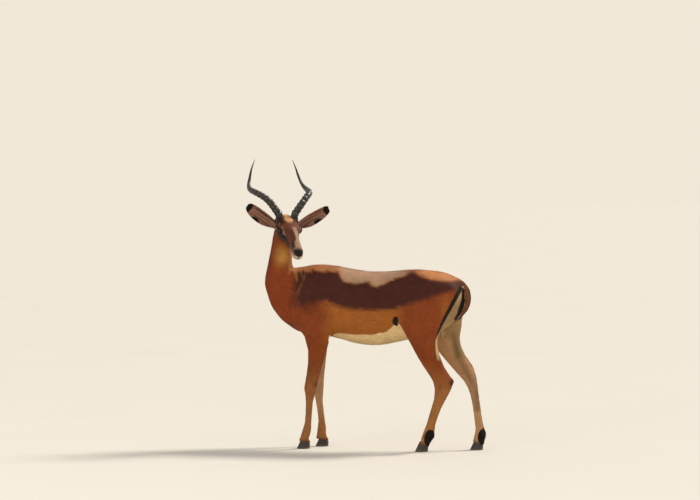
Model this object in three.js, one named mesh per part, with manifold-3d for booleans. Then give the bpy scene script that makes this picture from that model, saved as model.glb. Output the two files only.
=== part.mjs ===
// Impala ram, standing side-on with its head turned back over its left shoulder: a life-size still model.
// Millimetres, +Z up. The ram faces -X and its left side is -Y. The origin is on the ground, under the
// middle of its bounding box. Every part of the body is a loft through stations, and each station is a
// flattened ellipse held by the two ends of its depth axis. Flesh is modelled whole and parted by thin cuts.
import * as THREE from "three";
import { mergeVertices } from "three/addons/utils/BufferGeometryUtils.js";
import Module from "manifold-3d";

// ---------- Driving dimensions ----------
const ORIGIN = { x: -8, y: -13.4 }; // from the spine's plane to the middle of the bounding box
const GAP = 0.36; // between neighbouring solids
const WITHERS = 906; // height of the shoulder
const BELLY = 506; // lowest point of the belly
const CROUP = 882; // height of the rump
const HEAD_HEADING = -57; // degrees from +X, the way the face looks
const HEAD_PITCH = 42; // degrees, how far the face slopes below level
const FACE_TURN = 10; // sideways, at the tip of the nose
const POLL = [-380, -62, 1154]; // crown of the head, between the horns
const HEAD_LENGTH = 252; // crown to nose
const EYE_RADIUS = 16.5;
const EYE_PLACE = [86, -31, 43]; // along the face, above it, to the side
const BROW = { radii: [34, 20, 23], place: [85, -30, 29] };
const NOSTRIL = { radii: [7, 3.4, 6], place: [251, -36, 14] };
const HORN_RADIUS = 18.5;
const HORN_RINGS = 14;
const RINGED_SHARE = 0.7; // of the horn's length
const EAR_REACH = { left: [180, -12, 88], right: [160, 12, 103] }; // to its side, behind and up, root to tip
const EAR_HALF_WIDTH = 33.5;
const EAR_THICKNESS = 4.6;
const CLAW = { length: 60, width: 20, height: 42, cleft: 3 };
const SIDES = { trunk: 24, leg: 14, head: 20, horn: 9, tail: 10, claw: 12 };

const COLOURS = {
  flank: 0x9a5a2e,
  leg: 0x9a6038,
  horn: 0x2b2422,
  eye: 0x120c0a,
  hoof: 0x1e1a18,
  tail: 0x9c6a44,
};

const wasm = await Module();
wasm.setup();

// ---------- Meshes and solids ----------
function toSolid(geometry) {
  const bare = geometry.index ? geometry.toNonIndexed() : geometry.clone();
  for (const name of Object.keys(bare.attributes)) {
    if (name !== "position") bare.deleteAttribute(name);
  }
  const merged = mergeVertices(bare, 1e-3);
  return new wasm.Manifold(
    new wasm.Mesh({
      numProp: 3,
      vertProperties: new Float32Array(merged.attributes.position.array),
      triVerts: new Uint32Array(merged.index.array),
    }),
  );
}

function toGeometry(solid) {
  const mesh = solid.getMesh();
  const positions = new Float32Array(mesh.numVert * 3);
  for (let i = 0; i < mesh.numVert; i++) {
    positions.set(mesh.vertProperties.subarray(i * mesh.numProp, i * mesh.numProp + 3), i * 3);
  }
  const geometry = new THREE.BufferGeometry();
  geometry.setAttribute("position", new THREE.BufferAttribute(positions, 3));
  geometry.setIndex(new THREE.BufferAttribute(new Uint32Array(mesh.triVerts), 1));
  geometry.computeVertexNormals();
  return geometry;
}

// A closed mesh through rings of equal length. "fan" closes an end on its middle, "strip" a crescent.
function skinRings(rings, close = "fan") {
  const count = rings[0].length;
  const positions = rings.flat().flatMap((p) => [p.x, p.y, p.z]);
  const faces = [];
  for (let i = 0; i + 1 < rings.length; i++) {
    for (let j = 0; j < count; j++) {
      const k = (j + 1) % count;
      const [a, b, c, d] = [i * count + j, i * count + k, (i + 1) * count + k, (i + 1) * count + j];
      const short = rings[i][j].distanceTo(rings[i + 1][k]) <= rings[i][k].distanceTo(rings[i + 1][j]);
      faces.push(...(short ? [a, b, c, a, c, d] : [a, b, d, b, c, d]));
    }
  }
  const ends = [[0, true], [(rings.length - 1) * count, false]];
  for (const [start, flip] of ends) {
    if (close === "fan") {
      const middle = new THREE.Vector3();
      for (let j = 0; j < count; j++) middle.add(rings[start / count][j]);
      middle.divideScalar(count);
      const at = positions.push(middle.x, middle.y, middle.z) / 3 - 1;
      for (let j = 0; j < count; j++) {
        const pair = [start + j, start + ((j + 1) % count)];
        if (flip) pair.reverse();
        faces.push(...pair, at);
      }
    } else {
      for (let j = 0; j + 1 < count / 2; j++) {
        const quad = [start + j, start + j + 1, start + count - 2 - j, start + count - 1 - j];
        if (flip) quad.reverse();
        faces.push(quad[0], quad[1], quad[2], quad[0], quad[2], quad[3]);
      }
    }
  }
  const geometry = new THREE.BufferGeometry();
  geometry.setAttribute("position", new THREE.Float32BufferAttribute(positions, 3));
  geometry.setIndex(faces);
  return geometry;
}

// A station is [front or top point, back or under point, half width, squareness, pear]. Pear above 0 widens
// the first point's side. The loft has one ring at each station.
function loft(stations, sides, grow = 0) {
  const rows = stations.map(([front, back, half, square, pear]) => {
    const [a, b] = [new THREE.Vector3(...front), new THREE.Vector3(...back)];
    return { a, b, half, square, pear, middle: a.clone().add(b).multiplyScalar(0.5) };
  });
  const last = rows.length - 1;
  const rings = rows.map((row, i) => {
    const along = rows[Math.min(i + 1, last)].middle.clone().sub(rows[Math.max(i - 1, 0)].middle).normalize();
    const depth = row.a.clone().sub(row.b).multiplyScalar(0.5);
    const reach = depth.length() + grow;
    depth.normalize();
    const across = new THREE.Vector3().crossVectors(along, depth).normalize();
    const half = row.half + grow;
    const ends = (i === 0 ? -grow : 0) + (i === last ? grow : 0);
    return Array.from({ length: sides }, (_, j) => {
      const angle = ((j + 0.5) / sides) * 2 * Math.PI;
      const [c, s] = [Math.cos(angle), Math.sin(angle)];
      const bend = (v) => Math.sign(v) * Math.abs(v) ** (2 / row.square);
      return row.middle.clone()
        .addScaledVector(depth, reach * bend(c))
        .addScaledVector(across, half * bend(s) * (1 + row.pear * c))
        .addScaledVector(along, ends);
    });
  });
  return toSolid(skinRings(rings));
}

const union = (solids) => solids.reduce((a, b) => a.add(b));

function ball(middle, radii, wide = 14, high = 10) {
  const geometry = new THREE.SphereGeometry(1, wide, high);
  geometry.scale(...radii);
  geometry.translate(...middle);
  return toSolid(geometry);
}

// ---------- The head's own frame ----------
const heading = THREE.MathUtils.degToRad(HEAD_HEADING);
const pitch = THREE.MathUtils.degToRad(HEAD_PITCH);
const ahead = new THREE.Vector3(Math.cos(heading), Math.sin(heading), 0);
const alongFace = ahead.clone().multiplyScalar(Math.cos(pitch)).setZ(-Math.sin(pitch));
const aboveFace = ahead.clone().multiplyScalar(Math.sin(pitch)).setZ(Math.cos(pitch));
const toItsRight = new THREE.Vector3().crossVectors(ahead, new THREE.Vector3(0, 0, 1));

// A point of the head: along the face from the crown, above the face, and to the ram's right. The face turns
// a little further to its left than the horns do.
function headPoint(along, above, right = 0) {
  const turn = (FACE_TURN * Math.max(0, along + 60)) / (HEAD_LENGTH + 60);
  return new THREE.Vector3(...POLL)
    .addScaledVector(alongFace, along)
    .addScaledVector(aboveFace, above)
    .addScaledVector(toItsRight, right - turn);
}

// A point held level by the head: to the ram's right, behind the crown and above it.
function crownPoint(right, behind, up) {
  return new THREE.Vector3(...POLL)
    .addScaledVector(toItsRight, right)
    .addScaledVector(ahead, -behind)
    .add(new THREE.Vector3(0, 0, up));
}

// ---------- Trunk and neck ----------
// Rump to chest as [x, top, bottom, half width, squareness, pear].
const TRUNK_ROWS = [
  [496, 812, 722, 26, 2.0, 0.0],
  [478, 833, 668, 58, 2.0, 0.0],
  [440, 857, 612, 84, 2.1, -0.05],
  [385, 875, 578, 99, 2.2, -0.04],
  [320, CROUP, 560, 106, 2.2, -0.04],
  [250, 881, 545, 110, 2.2, -0.08],
  [170, 877, 525, 119, 2.2, -0.12],
  [90, 873, 508, 130, 2.2, -0.14],
  [20, 873, BELLY, 136, 2.2, -0.14],
  [-50, 883, 516, 135, 2.2, -0.16],
  [-115, 895, 534, 126, 2.15, -0.18],
  [-175, 903, 547, 113, 2.1, -0.2],
  [-232, WITHERS, 552, 102, 2.1, -0.24],
  [-288, 899, 556, 96, 2.1, -0.22],
];
// Shoulder to throat, where the sections turn upright: [nape x, z], [throat x, z], half width, squareness
// and pear.
const NECK_BASE_ROWS = [
  [[-330, 893], [-346, 572], 92, 2.1, -0.16],
  [[-354, 893], [-420, 622], 85, 2.1, -0.1],
  [[-366, 903], [-474, 688], 75, 2.1, -0.05],
];
// The neck as [middle x, y, z], half depth, half width, the way it faces in degrees, and how far the nape is
// raised over the throat.
const NECK_ROWS = [
  [[-436, 0, 835], 73, 64, 182, 42],
  [[-437, -1, 880], 65, 60, 188, 28],
  [[-430, -2, 930], 59, 57, 196, 20],
  [[-421, -3, 980], 56, 55, 206, 16],
  [[-412, -5, 1030], 54, 53, 218, 16],
  [[-405, -10, 1075], 50, 50, 232, 18],
  [[-397, -20, 1112], 40, 40, 246, 18],
];

function bodyAxisStations() {
  const trunk = TRUNK_ROWS.map(([x, top, bottom, ...shape]) => [[x, 0, top], [x, 0, bottom], ...shape]);
  const base = NECK_BASE_ROWS.map(([nape, throat, ...shape]) => [
    [nape[0], 0, nape[1]], [throat[0], 0, throat[1]], ...shape]);
  const neck = NECK_ROWS.map(([middle, depth, width, facing, raise]) => {
    const turn = THREE.MathUtils.degToRad(facing);
    const out = [Math.cos(turn) * depth, Math.sin(turn) * depth];
    return [
      [middle[0] - out[0], middle[1] - out[1], middle[2] + raise],
      [middle[0] + out[0], middle[1] + out[1], middle[2] - raise],
      width, 2.05, 0];
  });
  return [...trunk, ...base, ...neck];
}

// ---------- Legs ----------
// A leg row is [front x, z], [back x, z], distance from the spine's plane, half width, squareness.
const FORE_ROWS = [
  [[-272, 866], [-214, 870], 36, 18, 2.0],
  [[-316, 796], [-180, 810], 52, 38, 2.0],
  [[-350, 722], [-156, 734], 63, 42, 2.0],
  [[-358, 652], [-144, 657], 72, 42, 2.0],
  [[-322, 590], [-144, 588], 79, 40, 2.2],
  [[-283, 540], [-161, 530], 79, 34, 2.2],
  [[-268, 485], [-177, 479], 77, 29, 2.2],
  [[-269, 425], [-195, 420], 74, 25, 2.2],
  [[-277, 370], [-211, 366], 71, 22, 2.2],
  [[-285, 325], [-223, 322], 69, 22, 2.3],
  [[-290, 296], [-230, 293], 68, 23, 2.4],
  [[-285, 266], [-238, 261], 67, 19, 2.2],
  [[-283, 228], [-247, 226], 66, 15, 2.1],
  [[-285, 168], [-252, 166], 65, 14, 2.1],
  [[-289, 124], [-255, 122], 65, 15, 2.1],
  [[-296, 102], [-256, 94], 65, 19, 2.2],
  [[-303, 80], [-262, 66], 65, 17.5, 2.2],
  [[-310, 58], [-272, 46], 65, 17, 2.2],
  [[-318, 38], [-274, 31], 65, 19, 2.2],
];
const NEAR_HIND_ROWS = [
  [[322, 854], [412, 848], 42, 26, 2.0],
  [[252, 790], [478, 800], 57, 46, 2.0],
  [[214, 722], [487, 752], 66, 53, 2.1],
  [[196, 656], [463, 703], 71, 55, 2.1],
  [[200, 606], [432, 648], 75, 53, 2.1],
  [[224, 560], [398, 594], 79, 47, 2.2],
  [[251, 514], [378, 546], 80, 39, 2.2],
  [[277, 466], [380, 502], 80, 33, 2.2],
  [[305, 420], [393, 460], 79, 28, 2.2],
  [[334, 378], [411, 415], 78, 24, 2.2],
  [[355, 344], [436, 377], 77, 22, 2.2],
  [[363, 310], [457, 343], 76, 22, 2.3],
  [[363, 283], [447, 308], 75, 21, 2.3],
  [[358, 250], [424, 264], 74, 18, 2.2],
  [[346, 212], [397, 213], 73, 15.5, 2.1],
  [[333, 170], [379, 168], 72, 14.5, 2.1],
  [[322, 133], [367, 130], 71, 15.5, 2.1],
  [[312, 107], [363, 100], 71, 19.5, 2.2],
  [[303, 84], [357, 72], 71, 18, 2.2],
  [[292, 60], [338, 47], 71, 17, 2.2],
  [[280, 38], [328, 32], 71, 19, 2.2],
];
const FAR_HIND_ROWS = [
  [[328, 854], [424, 848], 42, 26, 2.0],
  [[262, 790], [484, 800], 57, 46, 2.0],
  [[226, 722], [494, 748], 66, 53, 2.1],
  [[218, 660], [488, 692], 71, 55, 2.1],
  [[238, 606], [476, 636], 76, 53, 2.2],
  [[278, 558], [464, 586], 79, 46, 2.2],
  [[317, 515], [457, 545], 80, 39, 2.2],
  [[352, 477], [464, 506], 80, 33, 2.2],
  [[387, 436], [486, 462], 79, 28, 2.2],
  [[422, 397], [513, 424], 78, 24, 2.2],
  [[452, 364], [542, 388], 77, 22, 2.2],
  [[481, 333], [567, 350], 76, 22, 2.3],
  [[499, 303], [564, 315], 75, 21, 2.3],
  [[512, 266], [566, 274], 74, 18, 2.2],
  [[522, 220], [571, 222], 73, 15.5, 2.1],
  [[529, 172], [575, 171], 72, 14.5, 2.1],
  [[534, 134], [580, 130], 71, 15.5, 2.1],
  [[538, 108], [588, 98], 71, 19.5, 2.2],
  [[536, 84], [590, 70], 71, 18, 2.2],
  [[530, 60], [577, 46], 71, 17, 2.2],
  [[524, 38], [572, 32], 71, 19, 2.2],
];
// The far foreleg stands a little back at the ground, and less so up to the elbow.
const FAR_FORE_LEAN = { back: 62, slope: 0.2, top: 560 };

function legStations(rows, side, lean) {
  const shift = (z) => (lean ? lean.back - lean.slope * Math.min(z, lean.top) : 0);
  return rows.map(([front, rear, off, half, square]) => [
    [front[0] + shift(front[1]), side * off, front[1]],
    [rear[0] + shift(rear[1]), side * off, rear[1]],
    half, square, 0]);
}

const LEGS = [
  { name: "leg_front_left", rows: FORE_ROWS, side: -1 },
  { name: "leg_front_right", rows: FORE_ROWS, side: 1, lean: FAR_FORE_LEAN },
  { name: "leg_hind_left", rows: NEAR_HIND_ROWS, side: -1 },
  { name: "leg_hind_right", rows: FAR_HIND_ROWS, side: 1 },
];

// ---------- Tail ----------
// Outer and inner edge in the spine's plane, and half width.
const TAIL_ROWS = [
  [[466, 846], [446, 800], 20],
  [[498, 821], [474, 789], 18],
  [[521, 788], [494, 770], 17],
  [[529, 750], [502, 744], 18],
  [[524, 712], [498, 712], 19],
  [[510, 683], [486, 690], 18],
  [[488, 657], [468, 671], 16],
  [[460, 634], [445, 650], 13],
  [[433, 615], [423, 630], 9],
  [[408, 599], [403, 607], 4],
];

// ---------- Head ----------
// Along the face, height of the profile, height of the jaw, half width, squareness, pear.
const HEAD_ROWS = [
  [-44, -54, -80, 18, 2.0, 0.0],
  [-32, -38, -94, 35, 2.0, 0.0],
  [-10, -20, -106, 44, 2.1, 0.0],
  [18, -6, -116, 48, 2.2, 0.04],
  [50, 2, -120, 52, 2.2, 0.1],
  [82, 2, -116, 50, 2.2, 0.14],
  [108, -3, -106, 42, 2.2, 0.08],
  [134, -7, -95, 34, 2.2, 0.0],
  [162, -10, -87, 28.5, 2.2, -0.04],
  [190, -12, -82, 26.5, 2.3, -0.04],
  [214, -15, -81, 27.5, 2.3, -0.02],
  [232, -19, -81, 28, 2.4, 0.02],
  [244, -25, -79, 25, 2.4, 0.04],
  [252, -32, -75, 20, 2.3, 0.06],
  [257, -40, -68, 11, 2.1, 0.06],
];

function headLoft(grow = 0) {
  const stations = HEAD_ROWS.map(([along, above, below, ...shape]) => [
    headPoint(along * (HEAD_LENGTH / 252), above).toArray(),
    headPoint(along * (HEAD_LENGTH / 252), below).toArray(),
    ...shape]);
  const brows = [-1, 1].map((side) => brow(side, grow));
  return union([loft(stations, SIDES.head, grow), ...brows]);
}

// The swell of bone and lid round an eye: a flattened ball whose axes follow the head.
function brow(side, grow) {
  const geometry = new THREE.SphereGeometry(1, 14, 8);
  geometry.scale(...BROW.radii.map((radius) => radius + grow));
  const frame = new THREE.Matrix4().makeBasis(alongFace, aboveFace, toItsRight);
  frame.setPosition(headPoint(BROW.place[0], BROW.place[1], side * BROW.place[2]));
  geometry.applyMatrix4(frame);
  return toSolid(geometry);
}

// The two nostrils are shallow hollows in the front of the nose.
function nostril(side) {
  const geometry = new THREE.SphereGeometry(1, 8, 6);
  geometry.scale(...NOSTRIL.radii);
  const frame = new THREE.Matrix4().makeBasis(alongFace, aboveFace, toItsRight);
  frame.setPosition(headPoint(NOSTRIL.place[0], NOSTRIL.place[1], side * NOSTRIL.place[2]));
  geometry.applyMatrix4(frame);
  return toSolid(geometry);
}

function eye(side, grow = 0) {
  return ball(headPoint(EYE_PLACE[0], EYE_PLACE[1], side * EYE_PLACE[2]).toArray(),
    Array(3).fill(EYE_RADIUS + grow), 14, 8);
}

// ---------- Horns ----------
// The lyre's line: to the side of the crown's middle, behind it and above it.
const HORN_LINE = [
  [37, -3, -34], [41, -1, -6], [59, 1, 21], [81, 3, 50], [106, 19, 77], [137, 62, 101], [147, 126, 116],
  [142, 172, 137], [129, 196, 176], [115, 207, 224], [98, 209, 267],
];
const HORN_TAPER = [[0, 1.02], [0.25, 0.92], [0.45, 0.8], [0.6, 0.64], [0.7, 0.46], [0.85, 0.28], [1, 0.07]];
const HORN_RIDGE = 0.07; // of the radius, above and below it
const TIP_STEPS = 9;

function taper(t) {
  const next = Math.max(1, HORN_TAPER.findIndex(([at]) => at >= t));
  const [[t0, r0], [t1, r1]] = [HORN_TAPER[next - 1], HORN_TAPER[next]];
  return r0 + ((r1 - r0) * (t - t0)) / (t1 - t0);
}

// A row of rings, ridge and groove by turns, then a smooth tip.
function horn(side) {
  const points = HORN_LINE.map(([out, behind, up]) => crownPoint(side * out, behind, up));
  const line = new THREE.CatmullRomCurve3(points, false, "centripetal");
  const ringed = 2 * HORN_RINGS;
  const stops = Array.from({ length: ringed + TIP_STEPS + 1 }, (_, i) => {
    if (i <= ringed) return [(RINGED_SHARE * i) / ringed, 1 + (i % 2 ? HORN_RIDGE : -HORN_RIDGE)];
    return [RINGED_SHARE + ((1 - RINGED_SHARE) * (i - ringed)) / TIP_STEPS, 1];
  });
  let normal = toItsRight.clone();
  const rings = stops.map(([t, ridge]) => {
    const along = line.getTangentAt(t);
    normal = normal.clone().addScaledVector(along, -normal.dot(along)).normalize();
    const across = new THREE.Vector3().crossVectors(along, normal);
    const radius = HORN_RADIUS * taper(t) * ridge;
    const middle = line.getPointAt(t);
    return Array.from({ length: SIDES.horn }, (_, j) => {
      const angle = (j / SIDES.horn) * 2 * Math.PI;
      return middle.clone()
        .addScaledVector(normal, radius * Math.cos(angle))
        .addScaledVector(across, radius * Math.sin(angle));
    });
  });
  return toSolid(skinRings(rings));
}

// ---------- Ears ----------
// A cupped leaf: it leaves the head as a tube and opens towards its tip. Rows are share of the length, share
// of the half width, and how far round its section runs in degrees.
const EAR_ROWS = [
  [0, 0.5, 290], [0.14, 0.55, 265], [0.28, 0.76, 220], [0.42, 0.94, 185], [0.56, 1, 160], [0.7, 0.97, 145],
  [0.83, 0.87, 130], [0.94, 0.7, 118], [1, 0.42, 110],
];
const EAR_ARC_POINTS = 7;

function ear(side, reach) {
  const foot = headPoint(35, -57, side * 38);
  const line = crownPoint(side * reach[0], reach[1], reach[2]).sub(crownPoint(0, 0, 0));
  const [length, along] = [line.length(), line.clone().normalize()];
  const facing = ahead.clone().addScaledVector(toItsRight, side * 0.35).add(new THREE.Vector3(0, 0, -0.2));
  facing.addScaledVector(along, -facing.dot(along)).normalize();
  const across = new THREE.Vector3().crossVectors(facing, along).normalize();
  const rings = EAR_ROWS.map(([t, width, span]) => {
    const half = THREE.MathUtils.degToRad(span) / 2;
    const halfWidth = EAR_HALF_WIDTH * width;
    const radius = halfWidth / Math.sin(Math.min(half, Math.PI / 2));
    const sag = 10 * Math.sin(Math.PI * t); // the ear bows back a little
    const droop = side * 9 * Math.sin(Math.PI * t); // and its lower edge is the rounder
    const middle = foot.clone().addScaledVector(along, length * t).addScaledVector(facing, radius * 0.5 - sag)
      .addScaledVector(across, droop);
    const arc = (r) => Array.from({ length: EAR_ARC_POINTS }, (_, j) => {
      const angle = half * (2 * (j / (EAR_ARC_POINTS - 1)) - 1);
      return middle.clone()
        .addScaledVector(facing, -r * Math.cos(angle))
        .addScaledVector(across, r * Math.sin(angle));
    });
    const thick = EAR_THICKNESS * (1 - 0.35 * t);
    return [...arc(radius), ...arc(radius - thick).reverse()];
  });
  return toSolid(skinRings(rings, "strip"));
}

// ---------- Hooves ----------
// Each foot has two claws. Rows are share of the height, share of the length, share of the width and how far
// the section is set back from the toe. The top slopes down to the heel.
const CLAW_ROWS = [[0, 1, 1, 0], [0.1, 1, 1.03, 0.3], [0.5, 0.87, 1, 9], [1, 0.72, 0.92, 19]];
const CLAW_HEEL = 0.42; // of its height is lost from toe to heel

function claw(toe, y, outward, grow = 0) {
  const last = CLAW_ROWS.length - 1;
  const rings = CLAW_ROWS.map(([up, long, wide, back], row) => {
    const halfLength = (CLAW.length * long) / 2;
    const rise = row === 0 ? -grow : row === last ? grow : 0;
    return Array.from({ length: SIDES.claw }, (_, j) => {
      const angle = (j / SIDES.claw) * 2 * Math.PI;
      const [c, s] = [Math.cos(angle), Math.sin(angle)];
      const point = 1 - 0.4 * Math.max(0, -c); // the toe is narrower
      const half = (s * outward > 0 ? 0.72 : 0.28) * CLAW.width * wide + grow;
      return new THREE.Vector3(
        toe + back + halfLength + (halfLength + grow) * c,
        y + half * Math.sign(s) * Math.abs(s) ** 0.8 * point,
        CLAW.height * up * (1 - (CLAW_HEEL * (1 + c)) / 2) + rise);
    });
  });
  return toSolid(skinRings(rings));
}

const FEET = {
  leg_front_left: { toe: -326, y: -65 },
  leg_front_right: { toe: -326 + FAR_FORE_LEAN.back, y: 65 },
  leg_hind_left: { toe: 268, y: -71 },
  leg_hind_right: { toe: 513, y: 71 },
};

function clawsOf(leg) {
  const foot = FEET[leg];
  return [-1, 1].map((side) => ({
    name: leg.replace("leg", "hoof") + (Math.sign(foot.y) === side ? "_outer" : "_inner"),
    make: (grow) => claw(foot.toe, foot.y + side * (CLAW.cleft / 2 + CLAW.width * 0.28), side, grow),
  }));
}

// ---------- Cuts between the parts of the flesh ----------
// A box standing on the face through `middle`, reaching `depth` along `normal` and `size` to each side of it.
function cutBox(middle, normal, size, depth, grow) {
  const geometry = new THREE.BoxGeometry(2 * size[0] + 2 * grow, 2 * size[1] + 2 * grow, depth + 2 * grow);
  geometry.translate(0, 0, depth / 2);
  const turn = new THREE.Quaternion().setFromUnitVectors(
    new THREE.Vector3(0, 0, 1), new THREE.Vector3(...normal).normalize());
  geometry.applyQuaternion(turn);
  geometry.translate(...middle);
  return toSolid(geometry);
}

const HALF = GAP / 2;
const CUTS = {
  neck: (grow) => cutBox([-440, 0, 834], [-0.5, 0, 0.866], [150, 200], 420, grow),
  leg_front_left: (grow) => cutBox([-225, -110, 540], [-0.1, -0.12, -1], [140, 104], 620, grow),
  leg_front_right: (grow) => cutBox([-205, 110, 540], [-0.1, 0.12, -1], [140, 104], 620, grow),
  leg_hind_left: (grow) => cutBox([330, -110, 590], [0.3, -0.18, -1], [190, 104], 700, grow),
  leg_hind_right: (grow) => cutBox([380, 110, 590], [0.3, 0.18, -1], [210, 104], 700, grow),
  tail: (grow) => cutBox([492, 0, 790], [0.8, 0, -0.55], [45, 60], 260, grow),
};

const flesh = union([
  loft(bodyAxisStations(), SIDES.trunk),
  ...LEGS.map((leg) => loft(legStations(leg.rows, leg.side, leg.lean), SIDES.leg)),
]);
const tail = loft(TAIL_ROWS.map(([outer, inner, half]) => [
  [outer[0], 0, outer[1]], [inner[0], 0, inner[1]], half, 2.1, 0]), SIDES.tail);

function biggest(solid) {
  return solid.decompose().sort((a, b) => b.volume() - a.volume())[0];
}

const pieces = new Map();
const claws = LEGS.flatMap((leg) => clawsOf(leg.name));
const headGrown = headLoft(GAP);
const headHollows = [-1, 1].flatMap((side) => [eye(side, GAP), nostril(side)]);
pieces.set("head", biggest(headHollows.reduce((a, b) => a.subtract(b), headLoft())));
pieces.set("neck", biggest(flesh.intersect(CUTS.neck(-HALF)).subtract(headGrown)));
for (const leg of LEGS) {
  const whole = flesh.intersect(CUTS[leg.name](-HALF));
  pieces.set(leg.name, biggest(clawsOf(leg.name).reduce((a, c) => a.subtract(c.make(GAP)), whole)));
}
const trunkCuts = ["neck", ...LEGS.map((leg) => leg.name)];
pieces.set("trunk", biggest(trunkCuts.reduce((a, name) => a.subtract(CUTS[name](HALF)), flesh)));
const trunkGrown = union([
  loft(bodyAxisStations(), SIDES.trunk, GAP),
  ...LEGS.slice(2).map((leg) => loft(legStations(leg.rows, leg.side, leg.lean), SIDES.leg, GAP)),
]);
pieces.set("tail", biggest(tail.subtract(trunkGrown)));

const SIDE_NAMES = [[-1, "left"], [1, "right"]];
for (const [side, word] of SIDE_NAMES) {
  pieces.set("eye_" + word, eye(side));
  pieces.set("horn_" + word, biggest(horn(side).subtract(headGrown)));
  pieces.set("ear_" + word, biggest(ear(side, EAR_REACH[word]).subtract(headGrown)));
}
for (const { name, make } of claws) pieces.set(name, make(0));

// ---------- The scene graph ----------
function colourOf(name) {
  const kind = name.split("_")[0];
  return COLOURS[{ horn: "horn", eye: "eye", hoof: "hoof", leg: "leg", tail: "tail" }[kind]] ?? COLOURS.flank;
}

const impala = new THREE.Group();
impala.position.set(-ORIGIN.x, -ORIGIN.y, 0);
for (const [name, solid] of pieces) {
  const shiny = /^(eye|horn|hoof)/.test(name);
  const material = new THREE.MeshStandardMaterial({
    color: colourOf(name), roughness: name.startsWith("eye") ? 0.1 : shiny ? 0.45 : 0.85, metalness: 0 });
  const mesh = new THREE.Mesh(toGeometry(solid), material);
  mesh.name = name;
  impala.add(mesh);
}

export default impala;
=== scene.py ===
"""Impala ram, a life-size still model: skin, coat, eyes, horns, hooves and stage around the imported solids."""

import math
from collections import namedtuple
from functools import reduce

import bmesh
import bpy
import numpy as np
from bpy.props import FloatProperty, FloatVectorProperty, IntProperty, PointerProperty
from mathutils import Matrix, Vector
from mathutils.bvhtree import BVHTree


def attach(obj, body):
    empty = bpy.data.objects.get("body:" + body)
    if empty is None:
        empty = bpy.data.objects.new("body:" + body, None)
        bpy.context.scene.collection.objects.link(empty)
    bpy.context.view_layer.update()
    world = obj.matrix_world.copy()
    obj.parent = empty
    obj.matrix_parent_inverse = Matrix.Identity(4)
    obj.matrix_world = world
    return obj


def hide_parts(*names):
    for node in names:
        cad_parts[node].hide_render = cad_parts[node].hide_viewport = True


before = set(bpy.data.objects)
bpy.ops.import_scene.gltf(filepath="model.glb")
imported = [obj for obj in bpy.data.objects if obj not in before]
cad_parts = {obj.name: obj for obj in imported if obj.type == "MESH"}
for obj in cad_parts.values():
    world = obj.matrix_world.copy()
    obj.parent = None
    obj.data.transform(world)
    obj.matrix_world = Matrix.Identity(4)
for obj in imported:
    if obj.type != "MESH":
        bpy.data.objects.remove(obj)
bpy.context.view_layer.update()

bl_info = {
    "name": "Impala ram model",
    "version": (1, 0, 0),
    "blender": (4, 5, 0),
    "location": "3D View > Sidebar > Impala",
    "description": "Builds the skin, coat, eyes, horns and hooves of a life-size impala ram",
    "category": "Object",
}

# ---------- The animal's frame: millimetres, with the spine's plane at y = 0 ----------
MM = 0.001
ORIGIN = np.array([8.0, 13.4, 0.0])  # of that frame in the row's, in millimetres
UP = np.array([0.0, 0.0, 1.0])
POLL = np.array([-380.0, -62.0, 1154.0])
HEADING = math.radians(-57)
PITCH = math.radians(42)
FACE_TURN = 10.0  # the nose stands this far to the ram's left of the horns' plane
HEAD_LENGTH = 252.0
AHEAD = np.array([math.cos(HEADING), math.sin(HEADING), 0.0])
ALONG = AHEAD * math.cos(PITCH) - UP * math.sin(PITCH)
ABOVE = AHEAD * math.sin(PITCH) + UP * math.cos(PITCH)
RIGHT = np.cross(AHEAD, UP)
EYE_PLACE = (86.0, -31.0, 43.0)  # along the face, above it, to the side
EYE_RADIUS = 16.5
EAR_FOOT = (35.0, -57.0, 38.0)
EAR_REACH = {"left": (180.0, -12.0, 88.0), "right": (160.0, 12.0, 103.0)}
SIDES = {"left": -1, "right": 1}  # of the animal: its left is -Y on the body, -RIGHT on the head
SLANT = 0.231  # markings lie on planes that lean back by this share of their distance from the spine's plane

FLESH = ["trunk", "neck", "head", "ear_left", "ear_right", "tail",
         "leg_front_left", "leg_front_right", "leg_hind_left", "leg_hind_right"]
PART = {name: i for i, name in enumerate(FLESH)}
LEGS = [PART[n] for n in FLESH if n.startswith("leg")]
EARS = [PART["ear_left"], PART["ear_right"]]
SHARES = {"w_head": [PART["head"]], "w_ear": EARS, "w_leg": LEGS, "w_tail": [PART["tail"]],
          "w_neck": [PART["neck"]]}

VOXEL = 2.5
SKIN_TRIANGLES = 190000


def face_turn(along):
    return FACE_TURN * np.maximum(0, along + 60.0) / (HEAD_LENGTH + 60.0)


def head_point(along, above, right):
    return POLL + along * ALONG + above * ABOVE + (right - face_turn(along)) * RIGHT


def crown_point(right, behind, up):
    return POLL + RIGHT * right - AHEAD * behind + UP * up


def eye_middle(side):
    return head_point(EYE_PLACE[0], EYE_PLACE[1], side * EYE_PLACE[2])


def head_coords(p):
    q = p - POLL
    along = q @ ALONG
    return along, q @ ABOVE, q @ RIGHT + face_turn(along)


def to_row(p):
    return (p + ORIGIN) * MM


def to_body(p):
    return p / MM - ORIGIN


# ---------- Small numeric tools ----------
def step(low, high, v):
    t = np.clip((v - low) / (high - low), 0, 1)
    return t * t * (3 - 2 * t)


def bell(v, width):
    return np.exp(-((v / width) ** 2))


def unit(v):
    return v / np.maximum(np.linalg.norm(v, axis=-1, keepdims=True), 1e-9)


def curve(v, points):
    """A value read off a broken line of (place, value) points."""
    places, values = zip(*points)
    return np.interp(v, places, values)


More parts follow.
